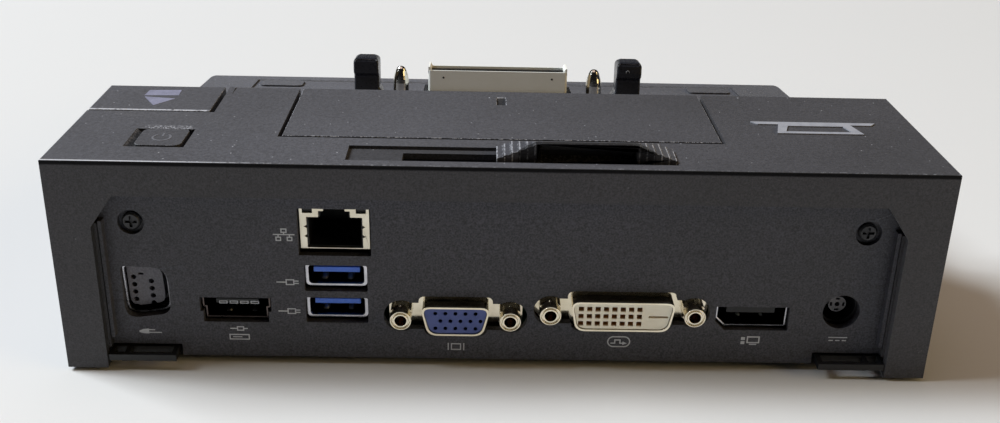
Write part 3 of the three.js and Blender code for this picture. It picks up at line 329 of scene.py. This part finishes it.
def cover_details(m):
    """Painted shade in sunk areas and painted shadow on the inner post walls, scuffs by the power button, a
    worn line on the rear top edge with a painted dark reflection under it.
    """
    over, y = height_over_top(m), m.at("Y")
    # Painted shade in areas sunk below the top plane.
    sunk_shade = m.product(m.span(over, -0.0006, -0.0003, 1.0, 0.0), m.span(m.facing_up(), 0.5, 0.9),
                     m.span(m.at("Z"), 0.040, 0.042))
    m.paint_shade(sunk_shade, 0.35)
    # Painted shadow on the inner walls of the posts.
    post_wall_shadow = m.product(m.span(m.facing("X"), -0.8, -0.5, 1.0, 0.0), m.band(m.at("X"), *POST_X, 0.0002))
    m.paint_shade(post_wall_shadow, 0.7)
    along = m.span(m.at("X"), *REAR_LINE_FADE, 0.0, 1.0)
    line = m.product(m.span(over, -0.0003, -0.00018), m.band(y, *REAR_LINE, 0.00008))
    broken = m.span(m.math("ADD", m.noise(1100, 3, 0.7), m.math("MULTIPLY", along, 0.38)), 0.52, 0.64)
    m.color = m.mix(m.product(line, broken, m.span(along, 0.0, 1.0, 0.22, 1.0)), m.color, WORN)
    rim = m.product(m.band(m.at("X"), *POWER_RIM_X, 0.0010), m.band(y, *POWER_RIM_Y, 0.0009),
                    m.span(m.facing_up(), 0.8, 0.95), m.span(m.noise(2100, 2, 0.6), 0.52, 0.6))
    m.color = m.mix(m.product(rim, 0.5), m.color, WORN)
    # Painted dark reflection and shade in a line just under the rear top edge.
    rounding_shade = m.product(m.span(y, 0.0770, 0.0771), m.span(over, -0.0011, -0.0006))
    m.paint_shade(rounding_shade, 0.93)


def bar_details(m):
    """Painted shade: the alignment notch is darkened inside."""
    notch_shade = m.product(m.band(m.at("X"), *NOTCH_X, 0.00005), m.band(m.at("Y"), *NOTCH_Y, 0.00005),
                      m.span(height_over_top(m), -0.00025, -0.0001, 1.0, 0.0))
    m.paint_shade(notch_shade, 0.55)


def knob_details(m):
    """Painted shade darkening the finger scoop that faces the rear; pale scuffed edges on the steps of the
    ramps.
    """
    low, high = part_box("slider_knob")
    ramp, steps = KNOB_RAMP, KNOB_STEPS
    pitch = ramp / steps
    middle = m.band(m.at("X"), low[0] + ramp * 0.93, high[0] - ramp * 0.93, 0.0002)
    widening = m.math("MULTIPLY", m.span(m.at("Y"), KNOB_SCOOP[0], high[1]), ramp * 0.45)
    from_ends = m.math("MINIMUM", m.math("SUBTRACT", m.at("X"), low[0]),
                       m.math("SUBTRACT", high[0], m.at("X")))
    scoop_shade = m.span(m.math("ADD", from_ends, widening), ramp * 0.93 - 0.0002, ramp * 0.93 + 0.0002)
    noise = m.noise(1400, 3, 0.7)
    step_masks = []
    for start, sign in ((low[0], 1), (high[0], -1)):
        count = m.math("DIVIDE", m.math("MULTIPLY", m.math("SUBTRACT", m.at("X"), start), sign), pitch)
        on_edge = m.span(m.math("FRACT", count), 0.12, 0.22, 1.0, 0.0)
        step_masks.append(m.product(on_edge, m.span(count, steps, steps + 0.1, 1.0, 0.0)))
    scuff = m.product(m.math("MAXIMUM", *step_masks), m.span(noise, 0.38, 0.58), 0.55)
    m.color = m.mix(scuff, m.color, WORN)
    crest = m.product(middle, m.band(m.at("Y"), *KNOB_CREST, 0.0001), m.span(noise, 0.45, 0.6))
    m.color = m.mix(m.product(crest, 0.55), m.color, WORN)
    # Painted shade in the finger scoop.
    m.paint_shade(m.product(scoop_shade, m.span(m.at("Y"), *KNOB_SCOOP)), 0.7)


def eject_details(m):
    """A pale worn line along the rear edge."""
    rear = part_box("eject_button")[1][1]
    line = m.product(m.band(m.at("Y"), rear - 0.0007, rear - 0.0001, 0.0001), m.span(m.facing_up(), 0.3, 0.7),
                     m.span(m.noise(900, 3, 0.7), 0.3, 0.5))
    m.color = m.mix(m.product(line, 0.8), m.color, WORN)


def plain_plastic(name, base, light, rough, grain, contrast=0.5):
    m = Mat(name)
    m.set(color=grained(m, base, light, rough, grain, contrast))
    return m.mat


# Per part: how much dusty grey with painted sheen lies on faces that look up, and how much of it is left at
# the -X end by painted light falloff.
CASE = case_plastic("case_plastic")
CASE_COVER = case_plastic("case_plastic_cover", wear=0.2, detail=cover_details)
CASE_DECK = case_plastic("case_plastic_deck", dust_and_sheen=0.85, wear=0.1, shaded_end=0.6)
CASE_POWER = case_plastic("case_plastic_power", dust_and_sheen=0.4, wear=0.35)
CASE_EJECT = case_plastic("case_plastic_eject", wear=0.5, detail=eject_details)
CASE_BAR = case_plastic("case_plastic_bar", wear=0.8, detail=bar_details)
CASE_KNOB = case_plastic("case_plastic_knob", dust_and_sheen=0.3, wear=0.3, detail=knob_details)
PANEL = plain_plastic("panel_plastic", srgb(61, 61, 67), srgb(67, 67, 74), 0.58, 1.1, 0.6)
BLACK = plain_plastic("black_plastic", srgb(22, 22, 24), srgb(27, 27, 29), 0.4, 0.4, 0.2)
HOOK_BLACK = plain_plastic("hook_plastic", srgb(36, 37, 43), srgb(44, 45, 51), 0.26, 0.3, 0.2)
SOCKET_GREY = plain_plastic("socket_plastic", srgb(98, 96, 102), srgb(108, 106, 112), 0.5, 0.4, 0.3)
RUBBER = plain_plastic("rubber_black", srgb(40, 40, 42), srgb(48, 48, 50), 0.8, 0.8, 0.2)
PAD = case_plastic("deck_pad_rubber", dust_and_sheen=0.7, wear=0.2, shaded_end=0.5)


def plated(name, base, tint, rough, grain=0.2, metal=1.0):
    """Plated sheet metal: fine drawn lines, faint stains."""
    m = Mat(name)
    lines = m.noise(500, 2, 0.6, m.stretched((1.0, 8.0, 1.0)))
    stain = m.noise(160, 3, 0.6)
    m.set(color=m.mix(m.span(stain, 0.35, 0.7), base, tint), metal=metal,
          rough=m.span(lines, 0.3, 0.7, max(0.03, rough - 0.04), rough + 0.06))
    m.set(normal=m.bump(m.math("ADD", lines, m.math("MULTIPLY", stain, 0.6)), grain, 0.00004))
    return m


def top_of(node):
    """Largest Y of a node: the plane of its mouth, in metres."""
    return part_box(node)[1][1]


def plated_mouth(name, node, base, tint, rough, deep, lit_from=None):
    """A socket shell: bright lip, dark inside as painted shade; the lip may shine only beyond an X, dimmed
    before it as painted shade.
    """
    m = plated(name, base, tint, rough)
    lip = m.span(m.at("Y"), top_of(node) - 0.0012, top_of(node) - 0.0003)
    # Painted light: the lip is bright beyond this X and dimmed before it as painted shade.
    if lit_from is not None:
        lip = m.product(lip, m.span(m.at("X"), lit_from, lit_from + 0.0004, 0.3, 1.0))
    stain = m.span(m.noise(420, 2, 0.6), 0.3, 0.7, 0.8, 1.0)
    bright = m.mix(m.span(m.noise(160, 3, 0.6), 0.35, 0.7), base, tint)
    # Deeper than the lip, the deep colour is painted shade.
    m.set(color=m.mix(m.product(lip, stain), deep, bright))
    return m.mat


THREAD_PITCH, THREAD_HOLE = 0.0006, (0.00132, 0.00145)


def threaded(name, node):
    """Plated post: bright outside; down its threaded hole, brown and dark in stripes of painted light and
    shade for the thread turns.
    """
    low, high = (Vector(corner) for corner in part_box(node))
    middle = (low + high) / 2
    m = plated(name, srgb(228, 219, 198), srgb(212, 202, 178), 0.16, 0.12)
    off = [m.math("SUBTRACT", m.at(axis), middle[i]) for i, axis in ((0, "X"), (2, "Z"))]
    radius = m.math("SQRT", m.math("ADD", m.product(off[0], off[0]), m.product(off[1], off[1])))
    inside = m.product(m.span(radius, *THREAD_HOLE, 1.0, 0.0),
                       m.span(m.at("Y"), high.y - 0.0004, high.y - 0.0002, 1.0, 0.0))
    # Painted light and shade: stripes along Y for the turns of the thread.
    thread_shading = m.span(m.math("SINE", m.math("MULTIPLY", m.at("Y"), 2 * math.pi / THREAD_PITCH)), -0.6, 0.6)
    m.set(color=m.mix(inside, srgb(228, 219, 198), m.mix(thread_shading, srgb(60, 45, 35), srgb(150, 120, 95))))
    return m.mat


NICKEL = plated("nickel_plate", srgb(228, 219, 198), srgb(212, 202, 178), 0.13, 0.12).mat
SATIN = plated("nickel_satin", srgb(226, 220, 203), srgb(216, 208, 188), 0.34).mat
FROSTED = plated("nickel_frosted", srgb(255, 255, 248), srgb(251, 251, 243), 0.5, 0.1, metal=0.0).mat
CHROME = plated("chrome_pin", srgb(225, 222, 215), srgb(200, 196, 186), 0.12).mat
STEEL = plated("steel_part", srgb(170, 170, 168), srgb(140, 140, 139), 0.34).mat
DARK_SCREW = plated("dark_screw", srgb(60, 60, 62), srgb(44, 44, 46), 0.42, metal=0.5).mat
DARK_CORE = plated("steel_dark", srgb(104, 102, 104), srgb(90, 88, 90), 0.45, metal=0.2).mat


def moulded(name, base, shade, rough, grain=0.3, mouth=None, deep=None):
    """Smooth coloured plastic; holes below the mouth plane take the deep colour."""
    m = Mat(name)
    cloud = m.noise(300, 3, 0.6)
    fine = m.noise(3000, 2, 0.5)
    color = m.mix(m.span(cloud, 0.35, 0.7), base, shade)
    if mouth is not None:
        color = m.mix(m.span(m.at("Y"), mouth - 0.0007, mouth - 0.0001), deep, color)
    m.set(color=color, rough=m.span(cloud, 0.3, 0.7, rough - 0.05, rough + 0.06))
    m.set(normal=m.bump(m.math("ADD", fine, m.math("MULTIPLY", cloud, 0.5)), grain, 0.00004))
    return m.mat


USB_BLUE = moulded("usb_blue", srgb(66, 120, 232), srgb(58, 108, 218), 0.3)
# Painted shade: the holes of this insert are dark below their mouth.
VGA_BLUE = moulded("vga_blue", srgb(74, 90, 156), srgb(64, 80, 144), 0.42,
                   mouth=top_of("vga_insert"), deep=srgb(14, 16, 40))
CREAM = moulded("cream_plastic", srgb(255, 249, 230), srgb(252, 244, 222), 0.42,
                mouth=top_of("dvi_insert"), deep=srgb(180, 132, 76))
BOARD = moulded("circuit_board", srgb(26, 78, 46), srgb(20, 62, 38), 0.35)
SILVER_INK = moulded("silver_print", srgb(172, 173, 180), srgb(156, 157, 165), 0.4)
ICON_INK = moulded("icon_print", srgb(196, 198, 202), srgb(176, 178, 183), 0.5)
LAVENDER_INK = moulded("eject_print", srgb(150, 150, 172), srgb(132, 132, 152), 0.5)
FAINT_INK = moulded("power_print", srgb(120, 120, 126), srgb(104, 104, 110), 0.5)
LED_LENS = moulded("led_lens", srgb(150, 115, 125), srgb(132, 100, 110), 0.25)
HOLE_INK = moulded("dark_mark", srgb(40, 36, 32), srgb(52, 48, 42), 0.5)
# Painted shade inside the socket shells.
DEEP = srgb(16, 15, 15)
USB_LIPS = (srgb(200, 200, 205), srgb(178, 178, 184))
BROWN_LIPS = (srgb(104, 94, 90), srgb(84, 76, 74))

by_slot = {
    "case_plastic": CASE, "panel_plastic": PANEL, "black_plastic": BLACK, "rubber_black": RUBBER,
    "nickel_plate": NICKEL, "chrome_pin": CHROME, "steel_part": STEEL, "dark_screw": DARK_SCREW,
    "usb_blue": USB_BLUE, "vga_blue": VGA_BLUE, "cream_plastic": CREAM, "circuit_board": BOARD,
    "silver_print": SILVER_INK,
}
by_node = {
    "block_cover": CASE_COVER,
    "slider_knob": CASE_KNOB,
    "power_button": CASE_POWER,
    "eject_button": CASE_EJECT,
    "deck_cover": CASE_DECK,
    "battery_bar": CASE_BAR,
    "deck_pad_left": PAD,
    "deck_pad_right": PAD,
    "latch_hook_left": HOOK_BLACK,
    "latch_hook_right": HOOK_BLACK,
    "aux_socket_body": SOCKET_GREY,
    "rj45_shield": SATIN,
    **{node: threaded(node + "_plate", node) for node in (
        "vga_standoff_left", "vga_standoff_right", "dvi_standoff_left", "dvi_standoff_right")},
    "dock_connector_shell": FROSTED,
    "dc_jack_core": DARK_CORE,
    "usb_upper_shell": plated_mouth("usb_upper_plate", "usb_upper_shell", *USB_LIPS, 0.2, DEEP),
    "usb_lower_shell": plated_mouth("usb_lower_plate", "usb_lower_shell", *USB_LIPS, 0.2, DEEP),
    "esata_shell": plated_mouth("esata_plate", "esata_shell", *BROWN_LIPS, 0.3, DEEP),
    "displayport_shell": plated_mouth("displayport_plate", "displayport_shell", *USB_LIPS, 0.2, DEEP),
    "aux_socket_shell": plated_mouth("aux_plate", "aux_socket_shell", *USB_LIPS, 0.25, DEEP, 0.0844),
}
for entry in frame["record"]["subparts"]:
    materials = nodes[entry["node"]].data.materials
    materials.clear()
    materials.append(by_node.get(entry["node"], by_slot[entry["material_slot"]]))


# Nodes with cut-outs: their bevels keep within their narrow faces.
TIGHT = {"block_cover", "rear_panel", "base_cover", "vga_shell", "dvi_shell", "rj45_shield",
         "usb_upper_shell", "usb_lower_shell", "esata_shell", "displayport_shell", "aux_socket_shell",
         "dock_connector_shell", "dock_connector_frame", "dc_jack_housing"}


def soften(node, width, angle=28, segments=2):
    """Rounds the sharp edges of a CAD node with modifiers; width in millimetres."""
    o = nodes[node]
    weld = o.modifiers.new("weld", "WELD")
    weld.merge_threshold = 2e-6
    if node not in TIGHT:
        flat = o.modifiers.new("flat", "DECIMATE")
        flat.decimate_type = "DISSOLVE"
        flat.angle_limit = math.radians(0.4)
    bevel = o.modifiers.new("bevel", "BEVEL")
    bevel.width = width * MM
    bevel.segments = segments
    bevel.limit_method = "ANGLE"
    bevel.angle_limit = math.radians(angle)
    bevel.use_clamp_overlap = node in TIGHT
    bevel.harden_normals = True


EDGES = {
    "block_cover": 0.3, "deck_cover": 0.3, "battery_bar": 0.2, "eject_button": 0.25, "rear_panel": 0.2,
    "base_cover": 0.15, "slider_knob": 0.12, "power_button": 0.15, "latch_hook_left": 0.6,
    "latch_hook_right": 0.6, "dock_connector_shell": 0.15, "dock_connector_frame": 0.2,
    "rj45_shield": 0.12, "vga_shell": 0.12, "dvi_shell": 0.12, "dc_jack_housing": 0.25,
    "deck_pad_left": 0.15, "deck_pad_right": 0.15, "usb_upper_shell": 0.1, "usb_lower_shell": 0.1,
    "displayport_shell": 0.1, "esata_shell": 0.08, "guide_pin_left": 0.1, "guide_pin_right": 0.1,
    "aux_socket_shell": 0.08,
    "vga_standoff_left": 0.1, "vga_standoff_right": 0.1, "dvi_standoff_left": 0.1, "dvi_standoff_right": 0.1,
    "foot_front_left": 0.3, "foot_front_right": 0.3, "foot_rear_left": 0.3, "foot_rear_right": 0.3,
}
for node, width in EDGES.items():
    soften(node, width)

# ------------------------------------------------------------------ small printed and pressed details
PRINT_LOW, PRINT_HIGH = -0.03 * MM, 0.05 * MM
LEFT = Vector((-1, 0, 0))
PANEL_AXES = (LEFT, Vector((0, -math.sin(PANEL_LEAN), math.cos(PANEL_LEAN))))
TOP_AXES = (LEFT, Vector((0, -math.cos(TOP_LEAN), -math.sin(TOP_LEAN))))
REAR_AXES = (LEFT, Vector((0, 0, 1)))


def surface(node, point, toward):
    """Where a line from a point, in millimetres, meets a CAD node; metres."""
    hit, place, _, _ = nodes[node].ray_cast(Vector(point) * MM, Vector(toward))
    if not hit:
        raise ValueError("no surface of " + node + " at " + str(point))
    return place


def placed(origin, axes):
    """Matrix whose x and y run along the two axes and whose z points out of the surface."""
    u, v = axes
    m = Matrix((u, v, u.cross(v))).transposed().to_4x4()
    m.translation = origin
    return m


def square_to(direction):
    return Vector((-direction.y, direction.x))


def stroke(bm, points, width, closed=False):
    """A line of rectangular section along points, in millimetres."""
    points = [Vector(p) * MM for p in points]
    count = len(points)
    rings = []
    for i, point in enumerate(points):
        steps = []
        if closed or i > 0:
            steps.append((point - points[i - 1]).normalized())
        if closed or i < count - 1:
            steps.append((points[(i + 1) % count] - point).normalized())
        miter = sum((square_to(s) for s in steps), Vector((0, 0))).normalized()
        reach = width * MM / 2 / max(0.4, miter.dot(square_to(steps[0])))
        left, right = point + miter * reach, point - miter * reach
        rings.append([bm.verts.new((*p, z)) for p, z in (
            (left, PRINT_LOW), (right, PRINT_LOW), (right, PRINT_HIGH), (left, PRINT_HIGH))])
    for i in range(count if closed else count - 1):
        a, b = rings[i], rings[(i + 1) % count]
        for k in range(4):
            bm.faces.new((a[k], a[(k + 1) % 4], b[(k + 1) % 4], b[k]))
    if not closed:
        bm.faces.new(rings[0][::-1])
        bm.faces.new(rings[-1])


def filled(bm, points):
    """A filled outline, in millimetres."""
    low = [bm.verts.new((x * MM, y * MM, PRINT_LOW)) for x, y in points]
    high = [bm.verts.new((x * MM, y * MM, PRINT_HIGH)) for x, y in points]
    bm.faces.new(low[::-1])
    bm.faces.new(high)
    for i in range(len(points)):
        j = (i + 1) % len(points)
        bm.faces.new((low[i], low[j], high[j], high[i]))


def box_at(x, y, w, h):
    return [(x - w / 2, y - h / 2), (x + w / 2, y - h / 2), (x + w / 2, y + h / 2), (x - w / 2, y + h / 2)]


def arc(x, y, r, start, end, steps=12):
    angles = [math.radians(start + (end - start) * i / steps) for i in range(steps + 1)]
    return [(x + r * math.cos(a), y + r * math.sin(a)) for a in angles]


def piece(name, bm, place, body, material):
    bmesh.ops.recalc_face_normals(bm, faces=bm.faces)
    bm.transform(place)
    mesh = bpy.data.meshes.new(name)
    bm.to_mesh(mesh)
    bm.free()
    mesh.materials.append(material)
    o = bpy.data.objects.new(name, mesh)
    bpy.context.scene.collection.objects.link(o)
    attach(o, body)
    return o


def drawn(name, draw, place, body="chassis", material=ICON_INK):
    """A thin print that draw() builds in millimetres on a surface."""
    bm = bmesh.new()
    draw(bm)
    return piece(name, bm, place, body, material)


def on_panel(x, z):
    start = (x, 90, z)
    return placed(surface("rear_panel", start, (0, -1, 0)), PANEL_AXES)


def on_top(node, x, y):
    return placed(surface(node, (x, y, 70), (0, 0, -1)), TOP_AXES)


ICON_LINE = 0.26                            # millimetres


def network_icon(bm):
    stroke(bm, [(-2.4, 0.1), (2.4, 0.1)], ICON_LINE)
    stroke(bm, [(0, 0.1), (0, 0.6)], ICON_LINE)
    stroke(bm, box_at(0, 1.05, 1.1, 0.8), ICON_LINE, True)
    for side in (-1, 1):
        stroke(bm, [(side * 1.25, 0.1), (side * 1.25, -0.5)], ICON_LINE)
        stroke(bm, box_at(side * 1.25, -0.95, 1.0, 0.8), ICON_LINE, True)


def plug_icon(bm):
    """A plain plug with a short lead."""
    stroke(bm, [(-2.6, 0), (-0.5, 0)], ICON_LINE)
    stroke(bm, box_at(0.45, 0, 1.7, 1.2), ICON_LINE, True)
    for side in (-1, 1):
        stroke(bm, [(1.3, side * 0.3), (2.4, side * 0.3)], ICON_LINE)


def drive_icon(bm):
    """A plain plug over a disk drawn as a flat box."""
    stroke(bm, [(-2.0, 1.2), (-0.4, 1.2)], ICON_LINE)
    stroke(bm, box_at(0.35, 1.2, 1.4, 0.9), ICON_LINE, True)
    stroke(bm, [(1.05, 1.2), (2.0, 1.2)], ICON_LINE)
    stroke(bm, box_at(0, -1.0, 4.4, 1.2), ICON_LINE, True)
    stroke(bm, [(-1.5, -1.0), (0.6, -1.0)], 0.22)


def screen_icon(bm):
    stroke(bm, box_at(0, 0, 2.1, 1.5), ICON_LINE, True)
    for side in (-1, 1):
        stroke(bm, [(side * 1.8, -0.95), (side * 1.8, 0.95)], ICON_LINE)


def signal_icon(bm):
    """A rounded outline with a square wave and an arrowhead inside."""
    stroke(bm, arc(1.25, 0, 1.3, -90, 90) + arc(-1.25, 0, 1.3, 90, 270), 0.28, True)
    stroke(bm, [(-1.9, -0.4), (-0.9, -0.4), (-0.9, 0.45), (0.3, 0.45), (0.3, -0.4), (1.0, -0.4)], 0.28)
    filled(bm, [(0.9, -0.85), (1.9, -0.4), (0.9, 0.05)])


def display_icon(bm):
    """A wide screen on a stand next to a stack of two bars."""
    stroke(bm, box_at(0.75, 0.2, 2.7, 1.5), 0.3, True)
    stroke(bm, [(-0.1, -1.0), (1.6, -1.0)], 0.28)
    for y in (-0.6, 0.5):
        filled(bm, box_at(-1.65, y, 0.9, 0.75))


def direct_current_icon(bm):
    stroke(bm, [(-2.2, 0.42), (2.2, 0.42)], 0.24)
    for x in (-1.55, 0, 1.55):
        stroke(bm, [(x - 0.5, -0.38), (x + 0.5, -0.38)], 0.24)


def lead_icon(bm):
    """A flat plug at the end of a lead."""
    stroke(bm, [(2.5, -0.35), (-0.5, -0.35)], ICON_LINE)
    stroke(bm, [(1.0, 0.35), (-0.5, 0.35)], ICON_LINE)
    filled(bm, [(-0.4, -0.65), (-0.4, 0.65), (-1.6, 0.5), (-2.6, 0.1), (-2.6, -0.3), (-1.6, -0.6)])


PANEL_ICONS = {
    "icon_network": (network_icon, 48.4, 32.9),
    "icon_plug_upper": (plug_icon, 48.05, 21.2),
    "icon_plug_lower": (plug_icon, 48.0, 13.8),
    "icon_drive": (drive_icon, 59.9, 7.9),
    "icon_screen": (screen_icon, 9.96, 5.1),
    "icon_signal": (signal_icon, -27.8, 7.0),
    "icon_display": (display_icon, -58.3, 7.8),
    "icon_direct_current": (direct_current_icon, -78.7, 8.5),
    "icon_lead": (lead_icon, 80.2, 8.1),
}
for name, (draw, x, z) in PANEL_ICONS.items():
    drawn(name, draw, on_panel(x, z))


def eject_symbol(bm):
    filled(bm, [(-3.95, 3.8), (3.9, 4.3), (4.15, 0.1), (-4.2, -0.35)][::-1])
    filled(bm, [(-3.95, -1.2), (3.95, -2.4), (-0.1, -7.65)][::-1])


def power_symbol(bm):
    stroke(bm, arc(0, 0, 2.0, 125, 415, 24), 0.45)
    stroke(bm, [(0, 0.6), (0, 2.6)], 0.45)


drawn("eject_symbol", eject_symbol, on_top("eject_button", 84.05, 32.9), "eject_button",
      material=LAVENDER_INK)
drawn("power_symbol", power_symbol, on_top("power_button", 76.4, 62.6), "power_button", material=FAINT_INK)


def dimple(name, x, y, z, size, rise, material):
    """A contact spring: a low rounded tongue pressed up from a socket floor; millimetres."""
    bm = bmesh.new()
    rings, count = 5, 20
    loops = []
    for i in range(rings):
        lift = math.sin(i / rings * math.pi / 2)
        shrink = math.cos(i / rings * math.pi / 2)
        loop = []
        for k in range(count):
            a = 2 * math.pi * k / count
            cx, cy = math.cos(a), math.sin(a)
            square = (abs(cx) ** 3 + abs(cy) ** 3) ** (-1 / 3)
            loop.append(bm.verts.new((cx * square * size[0] / 2 * shrink * MM,
                                      cy * square * size[1] / 2 * shrink * MM, lift * rise * MM)))
        loops.append(loop)
    crown = bm.verts.new((0, 0, rise * MM))
    for a, b in zip(loops, loops[1:]):
        for k in range(count):
            bm.faces.new((a[k], a[(k + 1) % count], b[(k + 1) % count], b[k]))
    for k in range(count):
        bm.faces.new((loops[-1][k], loops[-1][(k + 1) % count], crown))
    bm.faces.new(loops[0][::-1])
    o = piece(name, bm, Matrix.Translation(Vector((x, y, z)) * MM), "chassis", material)
    for polygon in o.data.polygons:
        polygon.use_smooth = True


for name, z in (("usb_upper", 20.2), ("usb_lower", 12.1)):
    for side, x in (("left", 40.25), ("right", 34.3)):
        dimple(name + "_spring_" + side, x, 70.6, z, (1.7, 3.0), 1.0, STEEL)
for side, x in (("left", 62.6), ("right", 56.7)):
    dimple("esata_spring_" + side, x, 71.4, 11.5, (1.6, 2.4), 0.7, STEEL)
for side, x in (("left", -56.2), ("right", -61.6)):
    dimple("displayport_spring_" + side, x, 70.2, 11.1, (0.9, 1.4), 0.5, FROSTED)


def coil(node):
    """A copy of the CAD spring, shown in its place."""
    o = bpy.data.objects.new(node + "_coil", nodes[node].data.copy())
    bpy.context.scene.collection.objects.link(o)
    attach(o, "chassis")
    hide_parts(node)
    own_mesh(o)
    for polygon in o.data.polygons:
        polygon.use_smooth = True


coil("eject_spring")
coil("latch_spring")


def esata_contacts(bm):
    for i in range(4):
        stroke(bm, box_at(-3.6 + 2.4 * i, 0, 1.7, 0.55), 0.2, True)


drawn("esata_contacts", esata_contacts,
      placed(surface("esata_tongue", (59.9, 90, 14.7), (0, -1, 0)), REAR_AXES))


def led_windows(bm):
    for side in (-1, 1):
        filled(bm, box_at(side * 5.95, 0, 1.9, 0.95))


def shell_marks(bm):
    for side in (-1, 1):
        filled(bm, arc(side * 16.8, 0, 0.32, 0, 330, 11))


def hook_mark(bm):
    stroke(bm, arc(0, 0, 0.5, 0, 330, 11), 0.22, True)


def on_rear(node, x, z):
    return placed(surface(node, (x, 90, z), (0, -1, 0)), REAR_AXES)


drawn("hook_mark", hook_mark, on_rear("latch_hook_right", -40.2, 32.2), "latch", material=ICON_INK)
marks_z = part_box("dock_connector_shell")[1][2] / MM - 3.2
drawn("dock_shell_marks", shell_marks, on_rear("dock_connector_shell", 0, marks_z), material=HOLE_INK)
drawn("network_lights", led_windows, on_rear("jack_stack_body", 37.2, 38.4), material=LED_LENS)


# ------------------------------------------------------------------ floor
FLOOR_HALF = 4


def make_floor():
    bm = bmesh.new()
    bmesh.ops.create_grid(bm, x_segments=2, y_segments=2, size=FLOOR_HALF)
    mesh = bpy.data.meshes.new("floor")
    bm.to_mesh(mesh)
    bm.free()
    o = bpy.data.objects.new("floor", mesh)
    bpy.context.scene.collection.objects.link(o)
    m = Mat("floor")
    m.set(color=m.mix(m.noise(3, 2, 0.5), srgb(228, 228, 228), srgb(233, 232, 231)), rough=0.55)
    o.data.materials.append(m.mat)


make_floor()
